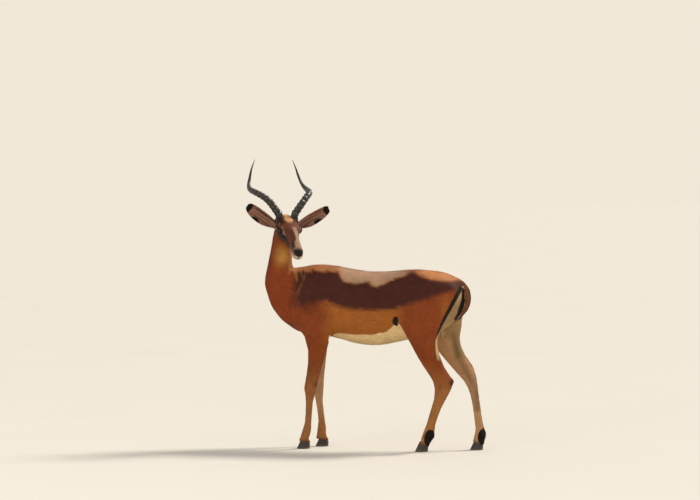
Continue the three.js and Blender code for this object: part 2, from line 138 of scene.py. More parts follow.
def to_line(u, v, line):
    """Distance to a broken line in a plane, which side of it a point is on, and how far along it."""
    pts = np.asarray(line, float)
    best = np.full(len(u), 1e9)
    side = np.zeros(len(u))
    along = np.zeros(len(u))
    for i, (a, b) in enumerate(zip(pts[:-1], pts[1:])):
        d = b - a
        t = np.clip(((u - a[0]) * d[0] + (v - a[1]) * d[1]) / (d @ d), 0, 1)
        du, dv = u - a[0] - t * d[0], v - a[1] - t * d[1]
        dist = np.hypot(du, dv)
        near = dist < best
        best = np.where(near, dist, best)
        side = np.where(near, np.sign(d[0] * dv - d[1] * du), side)
        along = np.where(near, (i + t) / (len(pts) - 1), along)
    return best, side, along


def ellipse(u, v, middle, radii, turn=0.0):
    """Roughly the distance inside an ellipse's rim."""
    c, s = math.cos(math.radians(turn)), math.sin(math.radians(turn))
    du, dv = u - middle[0], v - middle[1]
    q = np.hypot((du * c + dv * s) / radii[0], (dv * c - du * s) / radii[1])
    return (1 - q) * min(radii)


HASH_PRIMES = (73856093, 19349663, 83492791)  # mix a grid corner's three counts into one number
HASH_MIX = (2654435761, 1274126177)


def within(*distances):
    """Inside every one of several shapes, from how far inside each a point is."""
    return reduce(np.minimum, distances)


def any_of(*distances):
    return reduce(np.maximum, distances)


def hash_noise(p, size, seed):
    """Smooth value noise in three dimensions, from -1 to 1."""
    q = p / size
    base = np.floor(q).astype(np.int64)
    f = q - base
    f = f * f * (3 - 2 * f)
    total = np.zeros(len(p))
    for dx in (0, 1):
        for dy in (0, 1):
            for dz in (0, 1):
                corner = (base + (dx, dy, dz)) * HASH_PRIMES
                n = corner[:, 0] ^ corner[:, 1] ^ corner[:, 2] ^ seed
                n = (n * HASH_MIX[0]) & 0xFFFFFFFF
                n = ((n >> 13) ^ n) * HASH_MIX[1] & 0xFFFFFFFF
                value = (n & 0xFFFF) / 32767.5 - 1
                weight = (np.where(dx, f[:, 0], 1 - f[:, 0]) * np.where(dy, f[:, 1], 1 - f[:, 1])
                          * np.where(dz, f[:, 2], 1 - f[:, 2]))
                total += value * weight
    return total


# ---------- Meshes as arrays ----------
def mesh_arrays(mesh):
    mesh.calc_loop_triangles()
    co = np.zeros(len(mesh.vertices) * 3, np.float32)
    mesh.vertices.foreach_get("co", co)
    tri = np.zeros(len(mesh.loop_triangles) * 3, np.int32)
    mesh.loop_triangles.foreach_get("vertices", tri)
    return co.reshape(-1, 3).astype(float), tri.reshape(-1, 3)


def mesh_edges(tri):
    pairs = np.sort(np.concatenate([tri[:, [0, 1]], tri[:, [1, 2]], tri[:, [2, 0]]]), axis=1)
    return np.unique(pairs, axis=0)


def vertex_normals(co, tri):
    a, b, c = co[tri[:, 0]], co[tri[:, 1]], co[tri[:, 2]]
    n = np.cross(b - a, c - a)
    out = np.zeros_like(co)
    for k in range(3):
        for axis in range(3):
            out[:, axis] += np.bincount(tri[:, k], n[:, axis], len(co))
    return unit(out)


def average(values, edges, count):
    """Each vertex's mean over its neighbours."""
    out = np.zeros((count, values.shape[1]))
    for axis in range(values.shape[1]):
        out[:, axis] = (np.bincount(edges[:, 0], values[edges[:, 1], axis], count)
                        + np.bincount(edges[:, 1], values[edges[:, 0], axis], count))
    degree = np.bincount(edges.ravel(), minlength=count)
    return out / np.maximum(degree, 1)[:, None]


def smoothed(values, edges, rounds, rate=0.7):
    """Values spread over the surface. rate is one number or one per vertex."""
    flat = values.reshape(len(values), -1)
    rate = np.broadcast_to(np.asarray(rate, float), (len(values),))[:, None]
    for _ in range(rounds):
        flat = flat + rate * (average(flat, edges, len(flat)) - flat)
    return flat.reshape(values.shape)


def mesh_from(name, co, faces):
    """A mesh object from arrays: faces is one array of triangles, or of quads."""
    mesh = bpy.data.meshes.new(name)
    faces = np.asarray(faces, np.int32)
    mesh.vertices.add(len(co))
    mesh.vertices.foreach_set("co", np.asarray(co, np.float32).ravel())
    mesh.loops.add(faces.size)
    mesh.loops.foreach_set("vertex_index", faces.ravel())
    mesh.polygons.add(len(faces))
    mesh.polygons.foreach_set("loop_start", np.arange(len(faces), dtype=np.int32) * faces.shape[1])
    mesh.update(calc_edges=True)
    mesh.validate()
    obj = bpy.data.objects.new(name, mesh)
    bpy.context.scene.collection.objects.link(obj)
    return obj


def smooth_shade(obj):
    obj.data.polygons.foreach_set("use_smooth", np.ones(len(obj.data.polygons), bool))


def set_attribute(mesh, name, values):
    kind = "FLOAT" if values.ndim == 1 else "FLOAT_VECTOR"
    attribute = mesh.attributes.new(name, kind, "POINT")
    attribute.data.foreach_set("value" if kind == "FLOAT" else "vector", values.astype(np.float32).ravel())


def mark_places(obj):
    set_attribute(obj.data, "place", np.array([v.co for v in obj.data.vertices]))


def get_attribute(mesh, name):
    attribute = mesh.attributes[name]
    vector = attribute.data_type == "FLOAT_VECTOR"
    out = np.zeros(len(mesh.vertices) * (3 if vector else 1), np.float32)
    attribute.data.foreach_get("vector" if vector else "value", out)
    return out.reshape(-1, 3).astype(float) if vector else out.astype(float)


def apply_modifiers(obj):
    graph = bpy.context.evaluated_depsgraph_get()
    mesh = bpy.data.meshes.new_from_object(obj.evaluated_get(graph))
    obj.modifiers.clear()
    obj.data = mesh


def finish_piece(obj, slot, material, *nodes):
    """Every piece rides on the one body and stands for the nodes that it covers; slot is not used."""
    obj.data.materials.clear()
    obj.data.materials.append(material)
    smooth_shade(obj)
    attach(obj, "root")
    if nodes:
        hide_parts(*nodes)


# ---------- The skin's form ----------
GROWTH = {"ear_left": 1.3, "ear_right": 1.3}  # thin shells are made thicker before they are joined
JOIN_GROWTH = 0.7  # closes the cuts between the solids
LID = 2.6  # thickness of the lids over the eyeball, before the coat's depth comes off
SPREAD = {"trunk": 0.8, "neck": 0.34, "head": 0.07, "tail": 0.06, "leg": 0.07, "ear": 0.018}
SPREAD_ROUNDS = 120
COAT_DEPTH = {"trunk": 2.4, "neck": 1.6, "head": 1.0, "tail": 3.0, "leg": 0.9, "ear": 1.4}
CORONET = {"middle": (42.0, 37.0), "radii": (27.0, 20.0, 12.5), "slope": 21.0}  # from the toe and the floor
PASTERNS = {"front_left": (-278, -65, 92), "front_right": (-236, 65, 92), "hind_left": (330, -72, 92),
            "hind_right": (560, 71, 92)}
PASTERN_RADII = (15.0, 16.5)  # at the hoof and under the fetlock
FEET = {"front_left": (-326, -65), "front_right": (-264, 65), "hind_left": (268, -71), "hind_right": (513, 71)}


def part_values(table):
    """One value per part of the flesh, from a table by part or by kind."""
    return np.array([table.get(name, table.get(name.split("_")[0], 0.0)) for name in FLESH])


# The bony stumps that the horns stand on: right, behind and up from the poll, and radius.
PEDICLE = [((37.5, -2.5, -25), 21.0), ((36, -3, -40), 22.5), ((30, -2, -56), 24.0)]


def add_ball(bm, place, radius, cuts):
    bmesh.ops.create_icosphere(bm, subdivisions=cuts, radius=radius * MM,
                               matrix=Matrix.Translation(to_row(place)))


def add_pastern(bm, foot, toe, y):
    """The soft ring over the two claws, and the short bone above it."""
    low = np.array([toe + CORONET["middle"][0], y, CORONET["middle"][1]])
    turn = Matrix.Rotation(math.radians(CORONET["slope"]), 4, "Y")
    size = Matrix.Diagonal(Vector([r * MM for r in CORONET["radii"]] + [1]))
    bmesh.ops.create_icosphere(bm, subdivisions=3, radius=1,
                               matrix=Matrix.Translation(to_row(low)) @ turn @ size)
    high = np.array(PASTERNS[foot], float)
    for share in np.linspace(0, 1, 7):
        place = low + (high - low) * share + (0, 0, 4 * (1 - share))
        add_ball(bm, place, PASTERN_RADII[0] + (PASTERN_RADII[1] - PASTERN_RADII[0]) * share, 3)


def joined_flesh():
    """One closed mesh of all the flesh, with the eyeballs under their lids."""
    whole = bmesh.new()
    for name in FLESH:
        part = bmesh.new()
        part.from_mesh(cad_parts[name].data)
        bmesh.ops.remove_doubles(part, verts=part.verts, dist=1e-5)
        part.normal_update()
        growth = (JOIN_GROWTH + GROWTH.get(name, 0.0)) * MM
        for v in part.verts:
            v.co += v.normal * growth
        mesh = bpy.data.meshes.new("part")
        part.to_mesh(mesh)
        part.free()
        whole.from_mesh(mesh)
        bpy.data.meshes.remove(mesh)
    for side in SIDES.values():
        add_ball(whole, eye_middle(side), EYE_RADIUS + LID, 4)
        for (right, behind, up), radius in PEDICLE:
            add_ball(whole, crown_point(side * right, behind, up), radius, 4)
    for foot, (toe, y) in FEET.items():
        add_pastern(whole, foot, toe, y)
    mesh = bpy.data.meshes.new("skin")
    whole.to_mesh(mesh)
    whole.free()
    obj = bpy.data.objects.new("skin", mesh)
    bpy.context.scene.collection.objects.link(obj)
    remesh = obj.modifiers.new("remesh", "REMESH")
    remesh.mode = "VOXEL"
    remesh.voxel_size = VOXEL * MM
    apply_modifiers(obj)
    return obj


def keep_largest(obj):
    """Drops what is sealed inside the joined body."""
    co, tri = mesh_arrays(obj.data)
    edges = mesh_edges(tri)
    label = np.arange(len(co))
    while True:
        low = np.minimum(label[edges[:, 0]], label[edges[:, 1]])
        new = label.copy()
        np.minimum.at(new, edges[:, 0], low)
        np.minimum.at(new, edges[:, 1], low)
        new = new[new]
        if (new == label).all():
            break
        label = new
    names, counts = np.unique(label, return_counts=True)
    if len(names) == 1:
        return
    gone = np.flatnonzero(label != names[counts.argmax()])
    bm = bmesh.new()
    bm.from_mesh(obj.data)
    bm.verts.ensure_lookup_table()
    bmesh.ops.delete(bm, geom=[bm.verts[i] for i in gone], context="VERTS")
    bm.to_mesh(obj.data)
    bm.free()


def nearest_parts(p):
    """Which part of the flesh each point lies on."""
    best = np.full(len(p), 1e9)
    label = np.zeros(len(p), int)
    row = to_row(p)
    for name in FLESH:
        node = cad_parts[name].data
        co, tri = mesh_arrays(node)
        tree = BVHTree.FromPolygons(co.tolist(), tri.tolist())
        low, high = co.min(0) - 6 * MM, co.max(0) + 6 * MM
        for i in np.flatnonzero(((row > low) & (row < high)).all(1)):
            found = tree.find_nearest(row[i])
            if found[3] is not None and found[3] < best[i]:
                best[i] = found[3]
                label[i] = PART[name]
    return label


def refine(obj, where):
    """Cuts each face in the chosen places into four, and leaves only triangles."""
    bm = bmesh.new()
    bm.from_mesh(obj.data)
    co = np.array([v.co for v in bm.verts])
    chosen = where(to_body(co))
    bm.verts.ensure_lookup_table()
    edges = [e for e in bm.edges if chosen[e.verts[0].index] and chosen[e.verts[1].index]]
    bmesh.ops.subdivide_edges(bm, edges=edges, cuts=1, use_grid_fill=True)
    bmesh.ops.triangulate(bm, faces=bm.faces)
    bm.to_mesh(obj.data)
    bm.free()


def near_eyes(radius):
    def test(p):
        out = np.zeros(len(p), bool)
        for side in SIDES.values():
            out |= np.linalg.norm(p - eye_middle(side), axis=1) < radius
        return out
    return test


def near_nose(p):
    a, b, _ = head_coords(p)
    return (a > 198) & (a < 275) & (b > -95)


# Ridges above 0 and hollows below it: a line of (x, z) on the body's sides, how wide and how high.
SHOULDER_LINES = [
    ([(-225, 876), (-268, 780), (-300, 700)], 12, 2.2),
    ([(-172, 852), (-170, 760), (-160, 690)], 16, -3.0),
    ([(-160, 680), (-138, 610), (-142, 575)], 11, -4.0),
    ([(-340, 690), (-322, 640), (-292, 600)], 13, -2.5),
    ([(-330, 668), (-312, 664)], 18, 3.5),
    ([(-160, 566), (-158, 556)], 13, 4.0),
]
HIP_LINES = [
    ([(288, 846), (300, 842)], 18, 4.5),
    ([(238, 812), (262, 792)], 30, -4.0),
    ([(330, 830), (398, 790), (440, 742)], 15, 2.0),
    ([(300, 800), (262, 720), (236, 668)], 13, -2.2),
    ([(418, 800), (398, 700), (362, 620)], 12, -2.6),
    ([(204, 652), (214, 634)], 15, 3.5),
    ([(168, 668), (196, 628), (214, 590)], 11, -3.0),
]
NECK_FOLDS = [
    ([(-344, 887), (-349, 789), (-367, 712), (-362, 656)], 6.0, 3.2),
    ([(-306, 890), (-310, 838), (-344, 752), (-362, 716)], 5.5, 2.8),
]
NECK_LINES = [
    ([(-452, 1010), (-470, 900), (-462, 790), (-420, 700)], 13, -2.5),
    ([(-424, 1040), (-432, 930), (-410, 820), (-372, 740)], 18, 2.0),
]
HOCK_LINES = {
    "leg_hind_left": [([(396, 520), (398, 450), (418, 392)], 6, -3.4), ([(372, 300), (366, 180)], 5, -1.8)],
    "leg_hind_right": [([(468, 540), (492, 450), (526, 392)], 6, -3.4), ([(536, 290), (548, 180)], 5, -1.8)],
}
HOCK_POINTS = {"leg_hind_left": (452, 348), "leg_hind_right": (566, 352)}
FORE_LINES = [([(-214, 470), (-224, 380)], 7, -1.8), ([(-258, 255), (-260, 150)], 5, -1.8),
              ([(-284, 318), (-288, 288)], 9, 1.6)]
FAR_FORE_SHIFT = (62.0, 0.2, 560.0)  # how far the right foreleg stands back, less so up to the elbow


def far_fore_shift(z):
    return FAR_FORE_SHIFT[0] - FAR_FORE_SHIFT[1] * np.minimum(z, FAR_FORE_SHIFT[2])


def slid(p, plane):
    """x moved along the slant to a plane at that distance from the spine's, on either side."""
    return p[:, 0] + SLANT * (plane - np.abs(p[:, 1]))


def relief(p, n, weights):
    """Height of the muscles, tendons, folds and bones under the skin."""
    x, z = p[:, 0], p[:, 2]
    facing = step(0.1, 0.7, np.abs(n[:, 1]))
    out = np.zeros(len(p))

    def add(lines, mask, across=x):
        for line, width, height in lines:
            dist = to_line(across, z, line)[0]
            np.add(out, height * bell(dist, width) * mask, out=out)

    add(SHOULDER_LINES + HIP_LINES, facing * (np.abs(p[:, 1]) > 20))
    neck = weights[:, PART["neck"]] + weights[:, PART["trunk"]] * (x < -250)
    add(NECK_LINES, facing * neck)
    near = facing * (p[:, 1] < -10)
    for line, width, height in NECK_FOLDS:
        dist, side, _ = to_line(slid(p, 80), z, line)
        signed = dist * side
        out += height * near * (bell(signed, width) - 0.6 * bell(signed - 2.1 * width, 1.5 * width)
                                - 0.5 * bell(signed + 2.1 * width, 1.5 * width))
    for name, lines in HOCK_LINES.items():
        add(lines, facing * weights[:, PART[name]])
    add(FORE_LINES, facing * weights[:, PART["leg_front_left"]])
    add(FORE_LINES, facing * weights[:, PART["leg_front_right"]], x - far_fore_shift(z))
    for name, (px, pz) in HOCK_POINTS.items():
        out += 4.5 * bell(np.hypot(x - px, z - pz), 17) * step(0.0, 0.7, n[:, 0]) * weights[:, PART[name]]
    return out


MOUTH = [(259, 0), (256, 10), (246, 20), (228, 26), (204, 29)]  # along the face and to the side
MOUTH_HEIGHT = [(204, -67), (230, -64), (259, -59)]


def face_relief(p):
    """Height of the forms of the face: bones, lips, chin and cheeks."""
    a, b, c = head_coords(p)
    w = np.abs(c)
    out = 2.4 * bell(np.hypot(a - 74, b + 84), 26) * step(20, 40, w)  # cheek
    out += 1.6 * bell(to_line(a, b, [(104, -54), (150, -52), (176, -56)])[0], 7) * step(15, 26, w)
    out += 1.3 * bell(to_line(a, w, [(112, 24), (150, 17), (196, 15)])[0], 5) * step(-30, -10, b + 8)
    out -= 1.8 * bell(np.hypot(a - 70, w), 20) * (b > -30)  # between the brows
    out -= 1.6 * bell(to_line(a, b, [(120, -66), (168, -68), (200, -70)])[0], 7) * step(12, 22, w)
    dist = to_line(a, w, MOUTH)[0]
    height = b - curve(a, MOUTH_HEIGHT)
    near = (a > 198) * (b < -40) * (b > -90)
    out -= 2.6 * bell(height, 1.7) * near * step(201, 212, a) * (dist < 14)
    out += 1.6 * bell(height - 6, 4.5) * near
    out += 1.0 * bell(height + 7, 4.5) * near
    for side in (-1, 1):
        wing = to_line(a, b, [(252, -31), (248, -40), (240, -43)])[0]
        out -= 3.2 * bell(wing, 2.0) * bell(c - side * 15, 6.5)
        out += 1.3 * bell(np.hypot(a - 246, b + 26), 5) * bell(c - side * 16, 6)
    out -= 1.2 * bell(c, 1.3) * step(250, 254, a) * (b < -42) * (b > -60)
    return out


EYE_OPENING = {"front": 14.8, "back": 14.2, "upper": 10.6, "lower": 9.4, "tilt": -0.12}


def eye_opening(p, side):
    """How far inside the eye's opening a point is, and its place round the eyeball."""
    a, b, c = head_coords(p)
    da, db, dc = a - EYE_PLACE[0], b - EYE_PLACE[1], side * c - EYE_PLACE[2]
    level = db - EYE_OPENING["tilt"] * da
    reach = np.where(da > 0, EYE_OPENING["front"], EYE_OPENING["back"])
    tall = np.where(level > 0, EYE_OPENING["upper"], EYE_OPENING["lower"])
    width = np.clip(1 - np.abs(da / reach) ** 2.2, 0, 1)
    gap = tall * width - np.abs(level)
    gap = np.where(np.abs(da) > reach, -(np.abs(da) - reach) - np.abs(level) * 0.6, gap)
    return gap, level, np.sqrt(da * da + db * db + dc * dc), dc


def shape_lids(p):
    """Wraps the lids round each eyeball and opens them."""
    for side in SIDES.values():
        gap, level, r, out = eye_opening(p, side)
        middle = eye_middle(side)
        direction = unit(p - middle)
        near = (r < EYE_RADIUS + 14) & (out > -2)
        open_share = step(-0.4, 0.9, gap)
        rim = 1.3 + 0.9 * bell(gap + 1.4, 1.4) + 0.7 * bell(gap + 8.5, 3.5)
        rim = rim - 1.0 * bell(gap + 4.6, 1.5) * (level > 0)  # the fold of the upper lid
        lid = np.maximum(r, EYE_RADIUS + rim)
        cover = step(EYE_RADIUS + 9, EYE_RADIUS + 3, r)
        lid = np.where(r < EYE_RADIUS + 9, lid * (1 - cover) + (EYE_RADIUS + rim) * cover, lid)
        target = lid * (1 - open_share) + (EYE_RADIUS - 3.5) * open_share
        moved = middle + direction * target[:, None]
        p = np.where(near[:, None], moved, p)
    return p


def skin_form():
    """The joined flesh, smoothed, drawn in by the coat's depth and given its forms."""
    obj = joined_flesh()
    keep_largest(obj)
    co, tri = mesh_arrays(obj.data)
    edges = mesh_edges(tri)
    p = to_body(co)
    weights = smoothed(np.eye(len(FLESH))[nearest_parts(p)], edges, 10)
    a, _, _ = head_coords(p)
    rate = weights @ part_values(SPREAD)
    rate *= 1 - 0.6 * step(180, 230, a) * weights[:, PART["head"]]
    rate *= 0.45 + 0.55 * step(60, 110, p[:, 2])
    p = smoothed(p, edges, SPREAD_ROUNDS, rate)
    n = vertex_normals(p, tri)
    depth = weights @ part_values(COAT_DEPTH)
    p -= n * depth[:, None]
    p += n * relief(p, n, weights)[:, None]
    obj.data.vertices.foreach_set("co", to_row(p).astype(np.float32).ravel())
    obj.data.update()
    refine(obj, lambda q: near_eyes(36)(q) | near_nose(q))
    refine(obj, near_eyes(27))
    co, tri = mesh_arrays(obj.data)
    edges = mesh_edges(tri)
    p = to_body(co)
    local = near_eyes(40)(p) | near_nose(p)
    p = smoothed(p, edges, 4, 0.5 * local)
    n = vertex_normals(p, tri)
    p += n * (face_relief(p) * (head_coords(p)[0] > -40) * in_head(p))[:, None]
    p = shape_lids(p)
    p = smoothed(p, edges, 1, 0.25 * near_eyes(30)(p))
    obj.data.vertices.foreach_set("co", to_row(p).astype(np.float32).ravel())
    obj.data.update()
    return obj


def in_head(p):
    a, b, c = head_coords(p)
    return step(-60, -20, a) * (np.abs(c) < 66) * (b > -130) * (b < 30)


def thin_out(obj, target):
    """Fewer triangles where the form is plain. The eyes and nose keep theirs."""
    co, tri = mesh_arrays(obj.data)
    group = obj.vertex_groups.new(name="plain")
    p = to_body(co)
    fine = near_eyes(30)(p) | near_nose(p)
    group.add(np.flatnonzero(~fine).tolist(), 1.0, "REPLACE")
    fixed = fine[tri].all(1).sum()
    modifier = obj.modifiers.new("thin", "DECIMATE")
    modifier.vertex_group = "plain"
    modifier.vertex_group_factor = 1.0
    modifier.use_collapse_triangulate = True
    modifier.ratio = min(1.0, target / len(tri))
    apply_modifiers(obj)
    obj.vertex_groups.clear()
    print("skin:", len(tri), "triangles, of them fine", fixed, "now", len(obj.data.polygons))


# ---------- Markings ----------
SADDLE_LOW = [(-340, 716), (-290, 703), (-245, 706), (-212, 724), (-184, 738), (-158, 722), (-111, 702),
              (-23, 688), (64, 685), (151, 692), (188, 702), (225, 716), (287, 734), (348, 757), (412, 780),
              (471, 790), (510, 786)]
# The saddle's top edge is where the painted shade on the side meets the painted light on the top of the back.
SADDLE_TOP = [(-308, 872), (-207, 876), (-128, 872), (-96, 826), (-32, 818), (19, 831), (68, 804), (118, 832),
              (168, 846), (242, 872), (280, 857), (341, 833), (415, 828), (499, 834)]
SADDLE_END = 508
SADDLE_FRONT = [(-320, 844), (-326, 800), (-332, 755)]
BELLY_EDGE = [(-420, 470), (-330, 520), (-250, 545), (-145, 562), (-99, 573), (-24, 566), (63, 569), (125, 580),
              (150, 598), (170, 622), (190, 628), (206, 600), (236, 552), (300, 545), (420, 560)]
# Height, and x on the slanted plane.
STRIPE = [(799, 492), (748, 464), (704, 440), (660, 415), (621, 396), (583, 380), (540, 366), (500, 366),
          (450, 374)]
STRIPE_HALF = [(548, 0), (565, 2.5), (600, 5), (640, 7.5), (700, 9.5), (785, 11.5), (799, 9)]
TAIL_END = [(504, 663), (485, 646), (465, 632), (442, 621)]  # its last hair lies along the left buttock
FAR_THIGH = [(586, 66), (636, 46), (692, 27), (750, 7), (800, 6)]  # height, how much further back it is
# The black under the tail is the tail root's dark skin together with a painted shadow between the tail and the
# buttock.
CRESCENT = [(630, 447), (655, 465), (677, 481), (693, 487), (712, 494), (742, 502), (790, 504)]  # height, x
CRESCENT_HALF = [(630, 2), (655, 12), (677, 16), (693, 18), (712, 18), (742, 16), (779, 15), (800, 9)]
TAIL_LINE = [(466, 846), (498, 821), (521, 788), (529, 750), (524, 712), (510, 683), (488, 657), (460, 634),
             (433, 615), (408, 599)]
FLANK_SPOT = ((177, 633), (19, 25), 12)
FLANK_SPOT_END = 187  # the fold of the thigh cuts it off
GLAND_TUFTS = {"leg_hind_left": (340, 73), "leg_hind_right": (578, 72)}
HOCK_SPOTS = {"leg_hind_left": (453, 346), "leg_hind_right": (568, 352)}
# The nose's bands: painted light on the ram's left of BRIDGE_EDGE, and painted shade in a band on its right.
# Along the face, and to the ram's right of its middle.
BRIDGE_EDGE = [(60, 8), (100, 3), (116, 2), (147, -1), (166, -1), (180, 6), (192, 14), (216, 17)]
BRIDGE_END = [(98, -20), (116, -25), (147, -46), (220, -60)]
BRIDGE_BAND = [(60, 16), (100, 9), (147, 8), (216, 5)]  # half width of the dark band beside the pale one
NOSE_HALF = [(-58, 1.4), (-52, 2.4), (-48, 7), (-43, 18), (-38, 25), (-30, 30), (-20, 29), (-14, 22)]
FAR_GASKIN_SHADE = [(430, 560), (456, 452), (503, 371), (540, 305), (552, 200)]
# Middle and radii of a painted highlight on the thigh before the stripe.
THIGH_HIGHLIGHT = ((418, 702), (30, 62))
FACE_TOP = [(-44, -54), (-10, -20), (50, 2), (82, 2), (134, -7), (190, -12), (232, -19), (257, -40)]
BROW_LINE = [(48, 47), (68, 53), (90, 49), (110, 41), (130, 34)]  # along the face, to the side
FOLD_LIGHTS = [([(-336, 908), (-334, 870), (-327, 828)], 5.0), ([(-307, 898), (-305, 860), (-299, 836)], 1.9),
               ([(-291, 898), (-288, 842), (-320, 771), (-337, 706)], 1.9)]


# Middles, radii and turns of patches on the side of the body, the side of the face or the ear.
WHITE_THROAT = ((150, -92), (52, 12))
# The eye patch is painted shade in the eye socket.
EYE_PATCH = ((78, -44), (60, 32), 12)
CROWN_PATCH = ((26, 3), (44, 26))
GOLD_THROAT = ((-404, -58, 948), (34, 60, 44))
GLAND_SHAPE = ((25, 38), -16)
HOCK_SHAPE = ((11, 21), -25)
EAR_LENGTH = 190
EAR_SPOT = ((116, 37), (22, 8.5))
EAR_STREAKS = [(9, 2.6), (24, 2.6), (-12, 6.5)]  # across the ear, and how wide
RUMP_TOP, RUMP_END = 805, 450
STRIPE_ENDS = (540, 806)
CRESCENT_ENDS = (640, 796)
# Leg, place, width and strength.
LEG_SHADES = [("leg_hind_left", (396, 316), 11, 0.5), ("leg_front_left", (-228, 318), 12, 0.6),
              ("leg_front_left", (-227, 318), 10, 0.6)]


def ear_coords(p, word):
    """Share of the ear's length, distance across its axis, and the directions along and out of its cup."""
    side = SIDES[word]
    foot = head_point(EAR_FOOT[0], EAR_FOOT[1], side * EAR_FOOT[2])
    reach = EAR_REACH[word]
    line = RIGHT * side * reach[0] - AHEAD * reach[1] + UP * reach[2]
    length = np.linalg.norm(line)
    along = line / length
    facing = AHEAD + RIGHT * side * 0.35 - UP * 0.2
    facing = unit(facing - along * (facing @ along))
    across = np.cross(facing, along)
    q = p - foot
    return q @ along / length, q @ across, along, facing, across


SITES = ("p n w x y z a b c head neck tail legs hind ears body wide left side_x inner_side behind tail_out "
         "tail_share")
Sites = namedtuple("Sites", SITES)


def sites(p, n, w):
    """What the markings ask about each point: places, which part it is on and how it lies to their lines."""
    x, y, z = p.T
    a, b, c = head_coords(p)
    head, neck, tail = (w[:, PART[name]] for name in ("head", "neck", "tail"))
    hind = w[:, PART["leg_hind_left"]] + w[:, PART["leg_hind_right"]]
    ears = w[:, EARS].sum(1)
    body = 1 - np.clip(head + ears + tail, 0, 1)
    left = y < 0
    behind = slid(p, 80) - (curve(z, sorted(STRIPE)) + np.where(left, 0, curve(z, FAR_THIGH)))
    tail_out, _, tail_share = to_line(x, z, TAIL_LINE)
    return Sites(p, n, w, x, y, z, a, b, c, head, neck, tail, w[:, LEGS].sum(1), hind, ears, body, np.abs(y),
                 left, slid(p, 100), -np.sign(y) * n[:, 1], behind, tail_out, tail_share)


def mark_back(m, s):
    """The saddle, painted darker as shade on the body's side; the back above it, painted lighter as light on
    its top, with a painted sheen in its middle; and the red of shoulder and thigh, with a painted highlight on
    the thigh.
    """
    ragged = 0.55 + 0.6 * hash_noise(s.p, 90.0, 31) - 0.35 * step(240, 330, s.side_x)
    grid = np.stack([s.side_x + 0.5 * s.z, 40.0 * s.left, 0.2 * s.z], 1)
    fingers = 15 * ragged * hash_noise(grid, 13.0, 3)
    low, top = s.z - curve(s.side_x, SADDLE_LOW), curve(s.side_x, SADDLE_TOP) - s.z + fingers
    front = s.side_x - curve(s.z, sorted((q[1], q[0]) for q in SADDLE_FRONT))
    soft = 1 - 0.6 * step(-170, -260, s.side_x)
    # Painted shade: the saddle is the coat's own red-brown, made darker where the side lies in shade.
    saddle = within(low * soft, top * 1.4, front * 0.6 + 6, SADDLE_END - s.side_x)
    m["saddle"] = np.where(s.body > 0.5, saddle, -60)
    # Painted light: the top of the back, above the saddle, is made lighter where light falls on it.
    m["back"] = np.where(s.body > 0.5, within(-top * 1.4, front + 40), -60)
    # Painted sheen: a pale band over the middle of the back, where light glances off the coat.
    m["pale"] = s.body * step(-165, -70, s.side_x) * step(275, 170, s.side_x) * step(-4, 8, -top)
    m["neck"] = np.clip(s.neck + s.w[:, PART["trunk"]] * step(-330, -365, s.side_x), 0, 1)
    # Painted highlight: on the thigh before the stripe, the lighter flank colour shows instead of the rufous.
    (gold_x, gold_z), (gold_long, gold_tall) = THIGH_HIGHLIGHT
    gold = bell(np.hypot((slid(s.p, 80) - gold_x) / gold_long, (s.z - gold_z) / gold_tall), 1.0)
    red = np.maximum(step(-130, -215, s.x), step(165, 240, s.x))
    m["rufous"] = np.clip(red - 0.95 * gold * (s.wide > 30), 0, 1)


def mark_pale(m, s):
    """White on belly, rump, chin and tail, with the rump's white painted darker as shade, and the pale insides
    of the legs.
    """
    x, z, n = s.x, s.z, s.n
    edge = curve(slid(s.p, 110), BELLY_EDGE) - 90 * step(-160, -182, x) * step(40, 70, s.wide)
    belly = np.where(s.body > 0.5, (edge - z) * (1 - s.legs) - 40 * s.legs, -50)
    inner_leg = s.legs * step(0.05, 0.55, s.inner_side) * step(90, 240, z)
    inner_thigh = step(610, 560, z) * step(0.2, 0.8, s.inner_side) * s.hind
    m["inner"] = np.clip(inner_leg + inner_thigh, 0, 1)
    rump = within(s.behind - 2, RUMP_TOP - z, (z - RUMP_END) * 0.4)
    rump = np.where((x > 345) & ((n[:, 0] > -0.3) | (n[:, 2] < -0.2)), rump, -50)
    between_legs = (s.wide < 45) & (x > 375) & (z > 540) & (z < 660)
    rump = np.where(between_legs, np.maximum(rump, 6), rump)
    m["white"] = np.maximum(belly, np.where(s.body > 0.5, rump, -50))
    chin = within(-(s.b + 60) - 0.12 * np.maximum(np.abs(s.c) - 15, 0), s.a - 200)
    lips = within(7 - np.abs(s.b - curve(s.a, MOUTH_HEIGHT) - 3), s.a - 222)
    throat = ellipse(s.a, s.b, *WHITE_THROAT) - 4
    m["white"] = np.where(s.head > 0.5, any_of(chin, lips, throat), m["white"])
    tail_tip = (s.tail_share - 0.74) * 160
    tail_inside = within(4 - np.abs(s.tail_out - 26), (s.tail_share - 0.42) * 160)
    m["white"] = np.where(s.tail > 0.5, any_of(tail_tip, tail_inside), m["white"])
    # Painted shade: the rump's white, which turns back and in between the buttocks, is painted darker, less so
    # towards the top.
    m["rear"] = step(370, 395, x) * (1 - 0.35 * step(700, 780, z)) * (1 - s.tail)


